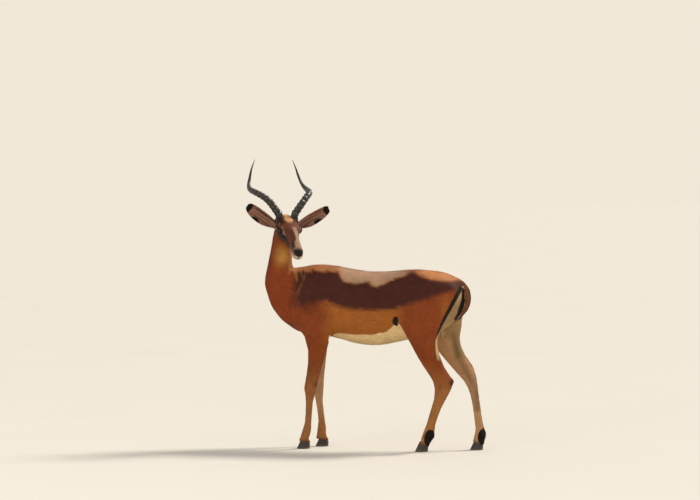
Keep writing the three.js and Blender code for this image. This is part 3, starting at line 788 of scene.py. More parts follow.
def mark_black(m, s):
    """The stripes of the rump, the black under the tail with its painted shadow, the flank's spot, the hind
    glands, the nose, the eyelids and the mouth.
    """
    x, z = s.x, s.z
    low, high = STRIPE_ENDS
    stripe = within(curve(z, STRIPE_HALF) - np.abs(s.behind) * 0.86, z - low, high - z)
    stripe = np.where((s.wide > 22) & (x > 330) & (s.tail < 0.5) & (s.inner_side < 0.25), stripe, -50)
    # Painted shadow: the black crescent between the near buttock's white and the tail, over the dark skin under
    # the tail.
    low, high = CRESCENT_ENDS
    crescent = curve(z, CRESCENT_HALF) - np.abs(slid(s.p, 25) - curve(z, CRESCENT)) * 0.9
    crescent = within(crescent, z - low, high - z)
    crescent = np.where((x > 425) & (s.wide > 6) & (s.wide < 62), crescent, -50)
    spot = within(ellipse(slid(s.p, 110), z, *FLANK_SPOT), FLANK_SPOT_END - slid(s.p, 110))
    spot = np.where((s.wide > 60) & (z > 600), spot, -50)
    tail_end = 2.2 - to_line(slid(s.p, 60), z, TAIL_END)[0]
    tail_end = np.where(s.left & (x > 380) & (s.n[:, 0] > -0.2), tail_end, -50)
    black = any_of(stripe, crescent, spot, tail_end)
    black = np.where(s.tail > 0.5, np.maximum(5.5 - s.tail_out, -30), black)
    for name, middle in GLAND_TUFTS.items():
        tuft = ellipse(x, z, middle, *GLAND_SHAPE)
        black = np.where(s.w[:, PART[name]] > 0.5, np.maximum(tuft, black), black)
    cw = np.abs(s.c)
    nose = within(s.a - 236 + 0.013 * cw ** 2, (curve(s.b, NOSE_HALF) - cw) * 0.8)
    m["nose"] = s.head * step(-1, 2, nose)
    lid = np.full(len(s.p), -50.0)
    for side in SIDES.values():
        gap, _, r, out = eye_opening(s.p, side)
        lid = np.maximum(lid, np.where((r < 26) & (out > 0), 3.2 + gap, -50))
    mouth = np.where(s.a > 205, 1.6 - np.abs(s.b - curve(s.a, MOUTH_HEIGHT)), -20)
    m["black"] = np.where(s.head > 0.5, any_of(nose, lid, mouth), black)


def mark_ears(m, s):
    """The ears' pale lining, black tips and spots, and the dark streaks between the rows of hair."""
    m["lining"] = np.zeros(len(s.p))
    m["dark"] = np.zeros(len(s.p))
    for word in SIDES:
        share, across, _, facing, _ = ear_coords(s.p, word)
        on = s.w[:, PART["ear_" + word]]
        cup = step(-0.1, 0.3, s.n @ facing)
        m["lining"] = np.maximum(m["lining"], on * cup)
        tip = (share - 0.83 - 0.0016 * np.abs(across)) * EAR_LENGTH
        down = across * SIDES[word]
        low_edge = np.where(cup > 0.4, ellipse(share * EAR_LENGTH, down, *EAR_SPOT), -50)
        m["black"] = np.where(on > 0.5, np.maximum(tip, low_edge), m["black"])
        lines = any_of(*(bell(down - middle, width) for middle, width in EAR_STREAKS))
        lines = lines * step(0.12, 0.3, share) * step(0.84, 0.66, share)
        m["dark"] = np.maximum(m["dark"], on * cup * lines)
    m["black"] = np.clip(m["black"], -50, 50)


def mark_face(m, s):
    """The forehead; the bands of the nose, with painted light on its left side and painted shade on its right;
    the painted shade round the eyes; the brows, the muzzle and the crown.
    """
    a, b, c, head = s.a, s.b, s.c, s.head
    cw = np.abs(c)
    over = b - curve(a, FACE_TOP)
    edge, band = curve(a, BRIDGE_EDGE), curve(a, BRIDGE_BAND)
    forehead = any_of(within(a - 62, 222 - a, c - edge + 4, over + 30),
                      within(a - 62, 108 - a, 42 - cw, over + 30))
    m["brow"] = head * step(-7, 6, forehead + 5 * hash_noise(s.p, 9.0, 17))
    # Painted shade: the dark band on the ram's right of the nose's middle, the side turned from the light, over
    # the nose's own darker middle.
    dark_band = within(band - np.abs(c - edge - band), over + 22, 216 - a, a - 116)
    dark = np.maximum(0.8 * head * step(-7, 5, dark_band), 0.8 * m["dark"])
    beyond = np.where(b > -30, cw - curve(a, BROW_LINE), 10)
    # Painted shade: dark round each eye in its socket and round the bases of the horns and ears, over the
    # darker skin there.
    m["mask"] = head * step(-5, 5, ellipse(a, b, *EYE_PATCH)) * step(24, 30, cw) * step(-2, 2, beyond)
    for side in SIDES.values():
        stump = np.linalg.norm(s.p - crown_point(side * 38, 0, -30), axis=1)
        m["mask"] = np.maximum(m["mask"], 0.85 * (head + s.ears) * step(33, 25, stump))
    m["dark"] = mark_legs(s, dark)
    m["grey"] = head * step(170, 215, a) * step(-8, 8, 24 - np.abs(b + 46)) * (1 - m["dark"])
    # Painted light: the pale patch on the ram's left side of the nose, where the light falls.
    lit = within(a - 98, 230 - a, edge - c, c - curve(a, BRIDGE_END), over + 28)
    m["bridge"] = head * step(-3, 5, lit + 3 * hash_noise(s.p, 7.0, 19)) * (1 - m["dark"])
    brow = np.where(b > -38, 1.6 - to_line(a, cw, BROW_LINE)[0], -20)
    m["bridge"] = np.maximum(m["bridge"], 0.9 * head * step(-1.5, 1.0, brow))
    m["mask"] = m["mask"] * (1 - step(-1.5, 1.0, brow))
    m["tan"] = head * step(-5, 7, ellipse(a, c, *CROWN_PATCH) + 4 * hash_noise(s.p, 8.0, 23))
    # The face's own brown is painted darker as shade on its sides; the nape and the backs of the ears are
    # redder than the face.
    m["face"] = np.clip(head * step(-50, 0, a) + 0.55 * s.ears, 0, 1)


def mark_legs(s, dark):
    """Adds the shaded gaskin, hocks, knee and coronets to the dark brown places."""
    far_inner = step(0.0, 0.5, -s.n[:, 1]) * s.w[:, PART["leg_hind_right"]]
    dark = np.maximum(dark, 0.45 * far_inner * bell(to_line(s.x, s.z, FAR_GASKIN_SHADE)[0], 14))
    for name, (spot_x, spot_z), width, share in LEG_SHADES:
        shade = bell(np.hypot(s.x - spot_x, s.z - spot_z), width)
        dark = np.maximum(dark, share * s.w[:, PART[name]] * shade)
    for name, middle in HOCK_SPOTS.items():
        hock = step(-5, 6, ellipse(s.x, s.z, middle, *HOCK_SHAPE))
        dark = np.maximum(dark, 0.8 * s.w[:, PART[name]] * hock)
    return np.maximum(dark, 0.7 * s.legs * step(52, 36, s.z))


def markings(p, n, w):
    """Each marking as a distance in millimetres, above 0 inside it, or as a share from 0 to 1."""
    s = sites(p, n, w)
    m = {}
    for mark in (mark_back, mark_pale, mark_black, mark_ears, mark_face):
        mark(m, s)
    gold_place, gold_size = GOLD_THROAT
    gold = bell(np.linalg.norm((p - gold_place) / gold_size, axis=1), 1.0)
    m["throat"] = np.clip((s.neck + s.head) * gold, 0, 1)
    # Painted highlights: lighter lines along the edges of the folds at the neck's base.
    for line, width in FOLD_LIGHTS:
        ridge = bell(to_line(slid(p, 80), s.z, line)[0], width)
        ridge = ridge * step(690, 800, s.z) * (s.y < -10) * s.body
        m["throat"] = np.maximum(m["throat"], 0.5 * ridge)
    m["leg"] = s.legs * step(470, 210, s.z)
    m["hind"] = s.hind
    m["tail"] = s.tail
    rear = step(330, 400, s.x) * step(560, 600, s.z) * step(815, 790, s.z)
    m["fray"] = 1 - np.clip(0.85 * (s.head + s.ears) + 0.75 * rear + 0.6 * s.legs, 0, 0.9)
    return m


SKIN_TIP = 0.35  # the skin is as light as a tuft is this far up
MARKS = ["saddle", "back", "pale", "bridge", "fray", "neck", "rufous", "white", "black", "inner", "nose",
         "lining", "dark", "grey", "throat", "tan", "leg", "hind", "tail", "face", "brow", "mask", "rear"]


def lie_of_coat(p, w):
    """The way the hair points, before it is laid onto the skin."""
    x, _, z = p.T
    ones = np.ones(len(p))
    fall = 0.14 + 0.85 * step(-130, -320, x) + 0.75 * step(230, 430, x) * step(870, 770, z)
    fall += 0.3 * step(640, 540, z) * (x < 200)
    top = curve(slid(p, 100), SADDLE_TOP) - z
    fall += 0.8 * step(-60, -15, top) * step(34, 8, top) * step(330, 280, x)
    trunk = np.stack([ones, 0 * ones, -fall], 1)
    neck = np.stack([0.28 * ones, 0 * ones, -ones], 1)
    leg = np.stack([0.14 * ones, 0 * ones, -ones], 1)
    head = np.broadcast_to(-ALONG - 0.12 * ABOVE, p.shape)
    flow = w[:, [PART["trunk"]]] * unit(trunk) + w[:, [PART["neck"]]] * unit(neck)
    flow = flow + w[:, LEGS].sum(1)[:, None] * unit(leg) + w[:, [PART["head"]]] * unit(head)
    for word in SIDES:
        flow = flow + w[:, [PART["ear_" + word]]] * ear_coords(p, word)[2]
    line = np.array(TAIL_LINE, float)
    ways = unit(np.gradient(line, axis=0))
    share = to_line(x, z, TAIL_LINE)[2] * (len(line) - 1)
    tail = np.stack([np.interp(share, range(len(line)), ways[:, 0]), 0 * ones,
                     np.interp(share, range(len(line)), ways[:, 1])], 1)
    return flow + w[:, [PART["tail"]]] * tail


def dress_skin(obj):
    """Stores the parts, markings and lie of the coat on the skin's vertices."""
    co, tri = mesh_arrays(obj.data)
    p = to_body(co)
    n = vertex_normals(p, tri)
    edges = mesh_edges(tri)
    weights = np.eye(len(FLESH))[nearest_parts(p)]
    sharp = smoothed(weights, edges, 2)
    soft = smoothed(weights, edges, 10)
    flow = smoothed(lie_of_coat(p, soft), edges, 25)
    flow = unit(flow - n * (flow * n).sum(1)[:, None])
    marks = markings(p, n, sharp)
    for name in MARKS:
        set_attribute(obj.data, name, marks[name])
    set_attribute(obj.data, "place", to_row(p))
    set_attribute(obj.data, "flow", flow)
    set_attribute(obj.data, "tone", np.zeros(len(p)))
    set_attribute(obj.data, "tip", np.full(len(p), SKIN_TIP))
    for name, columns in SHARES.items():
        set_attribute(obj.data, name, soft[:, columns].sum(1))


# ---------- Coat ----------
COAT_PIECES = ["coat_fore_left", "coat_fore_right", "coat_rear_left", "coat_rear_right", "coat_neck",
               "coat_head", "coat_forelegs", "coat_hindlegs", "coat_tail"]
FORE_AND_REAR = (-400.0, 60.0, 520.0)  # the trunk's two halves along x
PATCH = 0.003  # size of a tuft on the map
MAP_RIM = 0.004  # kept free round the map
TUFT_SEED = 11
MIDDLE = 0.52  # how far up a tuft its middle corners are
ROOT_SHARE = 0.45  # how far a tuft keeps its root's markings where it lies over others
OWN_COLOUR = ("saddle", "back", "pale", "tan")  # these it keeps to its tip, so that their edges are ragged


def towards(old, share, new):
    return old * (1 - share) + share * new


def tuft_sizes(p, n, root):
    """Length and width in millimetres, lift in degrees and tufts per square centimetre, by place."""
    head, ear, leg, tail, neck = (root[k] for k in SHARES)
    x, y, z = p.T
    a, _, c = head_coords(p)
    length = 13.0 + 2.0 * neck + 3.0 * step(560, 520, z) * (1 - leg)
    width = 2.0 * np.ones(len(p))
    lift = 5.0 * np.ones(len(p))
    dense = 20.0 + 4 * neck
    top = curve(slid(p, 100), SADDLE_TOP) - z
    fringe = step(-40, -12, top) * step(18, 2, top) * step(-320, -290, x) * step(330, 280, x) * (1 - leg)
    length += 13 * fringe
    lift += 6 * fringe
    spine = step(30, 8, np.abs(y)) * step(700, 800, z) * (1 - head - ear)
    length += 3 * spine
    lift += 3 * spine
    down_leg = step(150, 480, z)
    length = towards(length, leg, 6.5 + 5.0 * down_leg)
    width = towards(width, leg, 1.3 + 0.6 * down_leg)
    dense = towards(dense, leg, 27.0 - 7 * down_leg)
    lift = towards(lift, leg, 6.0)
    face, to_nose = head * step(-30, 60, a), step(0, 200, a)
    length = towards(length, head, 9.0 - 4.6 * step(-20, 200, a))
    width = towards(width, head, 1.5 - 0.5 * to_nose)
    dense = towards(dense, head, 26 + 26 * to_nose)
    lift = towards(lift, face, 6.0)
    crown = head * step(-2, 8, ellipse(a, c, (6, 0), (34, 22)))
    length += 5 * crown
    lift += 10 * crown
    width += 0.6 * crown
    lining = root["lining"]
    length = towards(length, ear, 5.0 + 6.0 * lining)
    width = towards(width, ear, 1.1)
    dense = towards(dense, ear, 38)
    lift = towards(lift, ear, 7.0 + 7.0 * lining)
    length = towards(length, tail, 24)
    width = towards(width, tail, 1.9)
    dense = towards(dense, tail, 34)
    lift = towards(lift, tail, 9)
    gland = leg * (root["hind"] > 0.5) * step(-2, 6, root["black"]) * (z < 140) * step(-0.5, 0.4, n[:, 0])
    length += 13 * gland
    lift += 13 * gland
    dense += 16 * gland
    coronet = leg * step(62, 48, z)
    length += 4 * coronet
    dense += 14 * coronet
    bare = head * np.clip(root["nose"] + step(-0.6, 0.5, np.where(near_eyes(27)(p), root["black"], -1)), 0, 1)
    dense = dense * (1 - bare)
    return length, width, lift, dense


def chart_of(name, p):
    """Where a root lies on an unwrap of its own region, from 0 to 1 each way."""
    x, y, z = p.T
    if name.startswith(("coat_fore_", "coat_rear_")):
        rear = name.startswith("coat_rear_")
        start, end = FORE_AND_REAR[rear], FORE_AND_REAR[rear + 1]
        rump = step(430, 500, x)
        u = np.minimum((x - start) / (end - start), 0.9 if rear else 1.0)
        return u + 0.09 * rump * np.hypot(y, z - 760) / 120, np.arctan2(np.abs(y), z - 700) / math.pi
    if name == "coat_neck":
        middle = curve(z, [(560, -400), (800, -410), (1000, -420), (1120, -400)])
        around = np.arctan2(y + curve(z, [(1000, 0), (1120, 20)]), x - middle)
        return 0.5 + around / (2 * math.pi), (z - 560) / 600
    if name == "coat_head":
        a, b, c = head_coords(p)
        is_ear = np.maximum(np.abs(c) - 62, 0) > 0
        u = (a + 60) / 330 * 0.6
        v = 0.5 + np.arctan2(c, b + 55) / (2 * math.pi)
        for k, word in enumerate(SIDES):
            share, across, _, _, _ = ear_coords(p, word)
            on = is_ear & (np.sign(c) == SIDES[word])
            u = np.where(on, 0.64 + 0.17 * k + 0.14 * np.clip(across / 90 + 0.5, 0, 1), u)
            v = np.where(on, np.clip(share, 0, 1), v)
        return u, v
    if name in ("coat_forelegs", "coat_hindlegs"):
        column = (x > 100) * 2 + (y > 0)
        middle = curve(z, [(40, 300), (130, 342), (340, 410), (420, 350), (650, 330)])
        far = curve(z, [(40, 550), (130, 558), (340, 525), (420, 450), (650, 360)])
        fore = curve(z, [(40, -295), (130, -270), (300, -260), (560, -240)])
        cx = np.choose(column, [fore, fore + far_fore_shift(z), middle, far])
        angle = np.arctan2(np.abs(y) - 72, x - cx) / (2 * math.pi) + 0.5
        return (column % 2 + 0.03 + 0.94 * angle) / 2, z / 640
    share = to_line(x, z, TAIL_LINE)[2]
    return 0.5 + y / 90, share


def piece_of(p, root):
    """Which coat piece each root belongs to, as an index into COAT_PIECES."""
    out = (p[:, 1] > 0) + 2 * (p[:, 0] > FORE_AND_REAR[1])
    out = np.where(root["w_neck"] > 0.5, 4, out)
    out = np.where(root["w_head"] + root["w_ear"] > 0.5, 5, out)
    out = np.where(root["w_leg"] > 0.5, 6 + (p[:, 0] > 0), out)
    return np.where(root["w_tail"] > 0.5, 8, out)


def scatter(rng, co, tri, roots):
    """Random roots over the skin, denser where the tufts are smaller."""
    p = to_body(co)
    n = vertex_normals(p, tri)
    dense = tuft_sizes(p, n, roots)[3]
    a, b, c = p[tri[:, 0]], p[tri[:, 1]], p[tri[:, 2]]
    area = np.linalg.norm(np.cross(b - a, c - a), axis=1) / 200  # square centimetres
    expected = area * dense[tri].mean(1) * settings("coat").density
    count = np.floor(expected + rng.random(len(tri))).astype(int)
    face = np.repeat(np.arange(len(tri)), count)
    u, v = rng.random(len(face)), rng.random(len(face))
    flip = u + v > 1
    u, v = np.where(flip, 1 - u, u), np.where(flip, 1 - v, v)
    share = np.stack([1 - u - v, u, v], 1)

    def at(values):
        corners = values[tri[face]]
        return (corners * (share[..., None] if values.ndim == 2 else share)).sum(1)

    return at(p), unit(at(n)), {k: at(v) for k, v in roots.items()}, rng.random(len(face))


def grow_tufts(skin):
    """Thin blades that lie along the skin, in pieces small enough to keep."""
    rng = np.random.default_rng(TUFT_SEED)
    co, tri = mesh_arrays(skin.data)
    fields = {k: get_attribute(skin.data, k) for k in MARKS + ["flow", *SHARES]}
    p, n, root, luck = scatter(rng, co, tri, fields)
    length, width, lift, _ = tuft_sizes(p, n, root)
    scale = settings("coat")
    count = len(p)
    length = length * scale.length * (0.7 + 0.6 * rng.random(count))
    width = width * scale.width * (0.75 + 0.5 * rng.random(count))
    sway = 0.20 * rng.standard_normal(count) + 0.35 * hash_noise(p, 32.0, 5) + 0.2 * hash_noise(p, 11.0, 9)
    clump = hash_noise(p * (0.5, 1, 1), 9.0, 21)
    flow = unit(root["flow"] - n * (root["flow"] * n).sum(1)[:, None])
    across = np.cross(n, flow)
    way = unit(flow + across * (sway * 0.5)[:, None])
    across = np.cross(n, way)
    rise = np.tan(np.radians(np.clip(lift * (0.6 + 0.9 * rng.random(count)) + 2.0 * clump, 2, 60)))
    tree = BVHTree.FromPolygons(to_body(co).tolist(), tri.tolist())
    middle = p + way * (MIDDLE * length)[:, None]
    end = p + way * length[:, None]
    middle, near_middle = laid(tree, middle, n, MIDDLE * length * rise)
    end, near_end = laid(tree, end, n, length * (MIDDLE * rise + (1 - MIDDLE) * rise * 0.45))
    half = across * (width / 2)[:, None]
    start = p - n * 0.25
    verts = np.stack([start - half, start + half, middle + half * 0.74, middle - half * 0.74, end], 1)
    piece = piece_of(p, root)
    corners = np.array([[0, 2, 1], [0, 3, 2], [3, 4, 2]])
    patch = np.array([[-0.5, -0.5], [0.5, -0.5], [0.43, 0.0], [-0.43, 0.0], [0.0, 0.5]]) * PATCH
    colours = {}
    for key in MARKS:
        at_middle, at_end = (fields[key][tri[near]].mean(1) for near in (near_middle, near_end))
        own = np.stack([root[key], root[key], at_middle, at_middle, at_end], 1)
        share = 1.0 if key in OWN_COLOUR else ROOT_SHARE
        colours[key] = share * root[key][:, None] + (1 - share) * own
    made = []
    for index, name in enumerate(COAT_PIECES):
        pick = np.flatnonzero(piece == index)
        faces = (corners[None] + 5 * np.arange(len(pick))[:, None, None]).reshape(-1, 3)
        obj = mesh_from(name, to_row(verts[pick].reshape(-1, 3)), faces)
        mesh = obj.data
        for key in MARKS:
            set_attribute(mesh, key, colours[key][pick].ravel())
        set_attribute(mesh, "place", np.repeat(to_row(p[pick]), 5, axis=0))
        set_attribute(mesh, "tone", np.repeat(0.75 * (2 * luck[pick] - 1) + 0.35 * clump[pick], 5))
        set_attribute(mesh, "tip", np.tile([0.0, 0.0, 0.5, 0.5, 1.0], len(pick)))
        u, v = chart_of(name, p[pick])
        where = MAP_RIM + (1 - 2 * MAP_RIM) * np.clip(np.stack([u, v], 1), 0, 1)
        uv = (where[:, None, None, :] + patch[corners][None]).reshape(-1, 2)
        layer = mesh.uv_layers.new(name="OFBake")
        layer.uv.foreach_set("vector", uv.astype(np.float32).ravel())
        lean = (verts[pick][:, 2] - p[pick]) / length[pick][:, None]
        normals = np.repeat(unit(n[pick] + 0.25 * lean), 5, axis=0)
        smooth_shade(obj)
        mesh.normals_split_custom_set_from_vertices(normals.astype(np.float32))
        print(name, len(faces), "triangles")
        made.append(obj)
    return made


def laid(tree, points, n, height):
    """Puts points at a height over the skin under them, and tells which face that is."""
    out = points.copy()
    near = np.zeros(len(points), int)
    for i, q in enumerate(points):
        place, _, face, _ = tree.find_nearest(q)
        out[i] = place
        near[i] = face
    return out + n * np.maximum(height, 0.3)[:, None], near


# ---------- Settings ----------
def colour(r, g, b):
    """A colour in linear light from everyday screen values."""
    def line(v):
        v = v / 255
        return v / 12.92 if v <= 0.04045 else ((v + 0.055) / 1.055) ** 2.4
    return (line(r), line(g), line(b))


def colour_property(name, description, rgb):
    return FloatVectorProperty(name=name, description=description, subtype="COLOR", size=3, min=0, max=1,
                               default=colour(*rgb))


class ImpalaCoatSettings(bpy.types.PropertyGroup):
    """Sizes and colours of the coat."""
    density: FloatProperty(name="Density", description="Share of the usual number of tufts", default=1.0,
                           min=0.02, max=2.0)
    length: FloatProperty(name="Length", description="Share of the usual length of the tufts", default=1.0,
                          min=0.3, max=2.0)
    width: FloatProperty(name="Width", description="Share of the usual width of the tufts", default=1.0,
                         min=0.3, max=2.0)
    # Saddle and back: the coat's own browns, the saddle painted darker as shade and the back painted lighter as
    # light on the top.
    saddle: colour_property("Saddle", "Dark upper side", (73, 36, 29))
    back: colour_property("Back", "Along the spine", (192, 130, 82))
    # Painted sheen over the middle of the back.
    pale: colour_property("Middle of the back", "Between the withers and the rump", (178, 142, 114))
    flank: colour_property("Flank", "Band under the saddle", (162, 94, 38))
    rufous: colour_property("Rufous", "Shoulder and thigh", (136, 65, 28))
    neck: colour_property("Neck", "Sides of the neck", (135, 61, 26))
    # Also used for the painted highlights on the neck's folds.
    throat: colour_property("Throat", "Patch under the jaw", (200, 146, 70))
    white: colour_property("White", "Belly, chin and rump", (222, 192, 140))
    # The rump's white hair, painted darker as the shade between the buttocks.
    rump: colour_property("Rump", "Pale hair between the stripe and the tail", (162, 130, 88))
    inner: colour_property("Inner leg", "Inside of the legs", (180, 138, 99))
    leg: colour_property("Foreleg", "Lower forelegs", (159, 107, 62))
    hind: colour_property("Hind leg", "Lower hind legs", (164, 110, 60))
    black: colour_property("Black", "Stripes, ear tips and glands", (32, 25, 22))
    # Also carries painted shade: the band on the ram's right of the nose, the inside of the far gaskin and the
    # leg shades.
    dark: colour_property("Dark brown", "Forehead, eye patch and hocks", (54, 33, 28))
    tan: colour_property("Crown", "Hair between the horns", (196, 144, 96))
    # Painted light on the ram's left side of the nose; the real pale brow lines share this colour.
    bridge: colour_property("Bridge", "Pale side of the nose", (150, 120, 97))
    # The cheeks' own brown, painted darker as the shade on the sides of the face.
    face: colour_property("Face", "Cheeks", (70, 31, 23))
    grey: colour_property("Muzzle", "Sides of the muzzle", (138, 108, 92))
    lining: colour_property("Ear lining", "Inside of the ears", (166, 120, 100))
    brow: colour_property("Forehead", "Between the eyes and down the nose", (101, 57, 41))
    # Painted shade in the eye sockets and round the horn and ear bases, over the darker skin there.
    mask: colour_property("Eye patch", "Round the eyes", (36, 30, 27))
    lips: colour_property("Lips", "Lips and chin", (204, 186, 166))
    tail: colour_property("Tail", "Sides of the tail", (129, 78, 50))


class ImpalaHornSettings(bpy.types.PropertyGroup):
    """Shape and colour of the horns."""
    rings: IntProperty(name="Rings", description="Ridges round each horn", default=14, min=4, max=30)
    ridge: FloatProperty(name="Ridge", description="Height of a ridge as a share of the radius", default=0.15,
                         min=0, max=0.4)
    dark: colour_property("Horn", "Grooves and tips", (27, 20, 19))
    # Paler crests: wear on the ridges, and a painted highlight on the front and upper faces.
    light: colour_property("Worn horn", "Crests of the ridges", (84, 66, 56))


class ImpalaEyeSettings(bpy.types.PropertyGroup):
    """The eyes' colours."""
    iris: colour_property("Iris", "Round the pupil", (30, 17, 11))
    pupil: colour_property("Pupil", "Middle of the eye", (6, 5, 5))


class ImpalaHoofSettings(bpy.types.PropertyGroup):
    """The hooves' colours."""
    wall: colour_property("Wall", "Side of the hoof", (52, 44, 40))
    edge: colour_property("Edge", "Worn lower edge", (104, 88, 72))


class ImpalaStageSettings(bpy.types.PropertyGroup):
    """Floor and light."""
    floor: colour_property("Floor", "Colour of the floor", (196, 192, 184))
    sun: FloatProperty(name="Key light", description="Strength of the high light from behind",
                       default=3.6, min=0)
    sky: FloatProperty(name="Fill light", description="Strength of the light from all round",
                       default=0.74, min=0)


SETTINGS = {"coat": ImpalaCoatSettings, "horns": ImpalaHornSettings, "eyes": ImpalaEyeSettings,
            "hooves": ImpalaHoofSettings, "stage": ImpalaStageSettings}


def settings(kind):
    return getattr(bpy.context.scene, "impala_" + kind)


# ---------- Materials ----------
DARKEST = 0.2  # share of its colour that the coat's shading leaves at least
WORN_HEIGHT = 0.008  # of the hooves' pale edge over the ground, and how far it strays
EYE_RIM = (0.012, 0.008, 0.006)


def darker(rgb, share):
    return tuple(v * share for v in rgb)


class Graph:
    """Adds nodes to a tree, so that a material reads as a list of steps."""

    def __init__(self, tree):
        self.tree = tree
        self.count = 0

    def add(self, kind, links=(), **values):
        node = self.tree.nodes.new(kind)
        node.location = (180 * (self.count % 12), -220 * (self.count // 12))
        self.count += 1
        for key, value in values.items():
            setattr(node, key, value)
        for key, value in dict(links).items():
            self.set(node.inputs[key], value)
        return node

    def set(self, socket, value):
        if isinstance(value, bpy.types.NodeSocket):
            self.tree.links.new(value, socket)
        elif socket.type == "RGBA" and len(value) == 3:
            socket.default_value = (*value, 1.0)
        else:
            socket.default_value = value

    def math(self, operation, a, b, clamp=False):
        return self.add("ShaderNodeMath", {0: a, 1: b}, operation=operation, use_clamp=clamp).outputs[0]

    def plus(self, total, value, share):
        """The total with a share of the value added."""
        return self.math("ADD", total, self.math("MULTIPLY", value, share))

    def mix(self, share, a, b):
        return self.add("ShaderNodeMix", {0: share, 6: a, 7: b}, data_type="RGBA").outputs[2]

    def noise(self, place, scale, detail, stretch=None):
        if stretch:
            place = self.add("ShaderNodeVectorMath", {0: place, 1: stretch}, operation="MULTIPLY").outputs[0]
        node = self.add("ShaderNodeTexNoise", {"Vector": place, "Scale": scale, "Detail": detail})
        return self.math("SUBTRACT", node.outputs["Fac"], 0.5)

    def field(self, name):
        node = self.add("ShaderNodeAttribute", attribute_name=name)
        return node.outputs["Vector" if name == "place" else "Fac"]

    def edge(self, value, soft, shift=0.0):
        """A share that rises from 0 to 1 as value passes 0."""
        node = self.add("ShaderNodeMapRange", {0: value, 1: shift - soft, 2: shift + soft},
                        interpolation_type="SMOOTHSTEP")
        return node.outputs[0]

    def bump(self, shader, strength, depth, height):
        node = self.add("ShaderNodeBump", {"Strength": strength, "Distance": depth, "Height": height})
        self.set(shader.inputs["Normal"], node.outputs[0])


def new_group(name, inputs, outputs):
    tree = bpy.data.node_groups.new(name, "ShaderNodeTree")
    for title, kind, value in inputs:
        socket = tree.interface.new_socket(title, in_out="INPUT", socket_type=kind)
        socket.default_value = value
    for title, kind in outputs:
        tree.interface.new_socket(title, in_out="OUTPUT", socket_type=kind)
    graph = Graph(tree)
    return tree, graph, graph.add("NodeGroupInput").outputs, graph.add("NodeGroupOutput").inputs


def coat_group():
    """Colour, roughness and bump height of the coat, from the markings on the vertices."""
    found = bpy.data.node_groups.get("Coat markings")
    if found:
        return found
    c = settings("coat")
    tree, g, given, out = new_group(
        "Coat markings",
        [("Grain", "NodeSocketFloat", 1.0), ("Tip lightening", "NodeSocketFloat", 0.3),
         ("Tuft variation", "NodeSocketFloat", 0.25)],
        [("Colour", "NodeSocketColor"), ("Roughness", "NodeSocketFloat"), ("Height", "NodeSocketFloat")])
    place = g.field("place")
    broad = g.noise(place, 14.0, 3.0)
    patch = g.noise(place, 46.0, 3.0)
    streak = g.noise(place, 120.0, 3.0, (0.35, 1.0, 1.0))
    fine = g.noise(place, 900.0, 2.0)

    def broken(name, coarse, small):
        spread = g.math("ADD", g.math("MULTIPLY", patch, coarse), g.math("MULTIPLY", streak, small))
        return g.plus(g.field(name), spread, g.field("fray"))

    def flat(name):
        return tuple(getattr(c, name))

    def paint(under, *names):
        for name in names:
            under = g.mix(g.field(name), under, flat(name))
        return under

    def paint_ragged(under, name, coarse, small, soft, over=None):
        return g.mix(g.edge(broken(name, coarse, small), soft), under, over or flat(name))

    now = g.mix(g.field("rufous"), flat("flank"), flat("rufous"))
    now = paint(now, "neck", "tail")
    # Painted light on the top of the back, painted shade on the saddle, and a painted sheen over the middle of
    # the back.
    now = paint_ragged(now, "back", 40.0, 36.0, 14.0)
    now = paint_ragged(now, "saddle", 26.0, 30.0, 17.0)
    now = paint(now, "pale")
    now = g.mix(g.field("leg"), now, g.mix(g.field("hind"), flat("leg"), flat("hind")))
    now = paint(now, "inner")
    now = g.mix(g.field("face"), now, g.mix(g.field("grey"), flat("face"), flat("grey")))
    now = paint(now, "brow", "bridge", "tan", "lining", "throat")
    # The rump's white, painted darker as shade, and the face's white, which is greyer.
    white = g.mix(g.field("rear"), flat("white"), flat("rump"))
    white = g.mix(g.field("face"), white, flat("lips"))
    # Painted shade round the eyes and the horn and ear bases.
    now = paint(now, "mask")
    now = paint_ragged(now, "white", 8.0, 8.0, 3.5, white)
    now = paint(now, "dark")
    now = paint_ragged(now, "black", 3.0, 4.0, 1.4)
    shade = g.plus(g.plus(1.0, broad, 0.55), streak, 0.5)
    shade = g.plus(shade, g.field("tone"), given["Tuft variation"])
    shade = g.plus(shade, g.math("SUBTRACT", g.field("tip"), SKIN_TIP), given["Tip lightening"])
    shade = g.plus(shade, fine, given["Grain"])
    shade = g.math("MAXIMUM", shade, DARKEST)
    even = g.add("ShaderNodeCombineXYZ", {0: shade, 1: shade, 2: shade}).outputs[0]
    g.set(out["Colour"], g.add("ShaderNodeVectorMath", {0: now, 1: even}, operation="MULTIPLY").outputs[0])
    rough = g.plus(0.68, patch, 0.25)
    rough = g.math("SUBTRACT", rough, g.math("MULTIPLY", g.field("nose"), 0.3), clamp=True)
    g.set(out["Roughness"], rough)
    g.set(out["Height"], g.math("ADD", g.math("MULTIPLY", streak, 0.8), g.math("MULTIPLY", fine, 0.5)))
    return tree


def new_material(name):
    material = bpy.data.materials.new(name)
    material.use_nodes = True
    material.node_tree.nodes.clear()
    graph = Graph(material.node_tree)
    shader = graph.add("ShaderNodeBsdfPrincipled")
    output = graph.add("ShaderNodeOutputMaterial")
    graph.set(output.inputs["Surface"], shader.outputs[0])
    return material, graph, shader


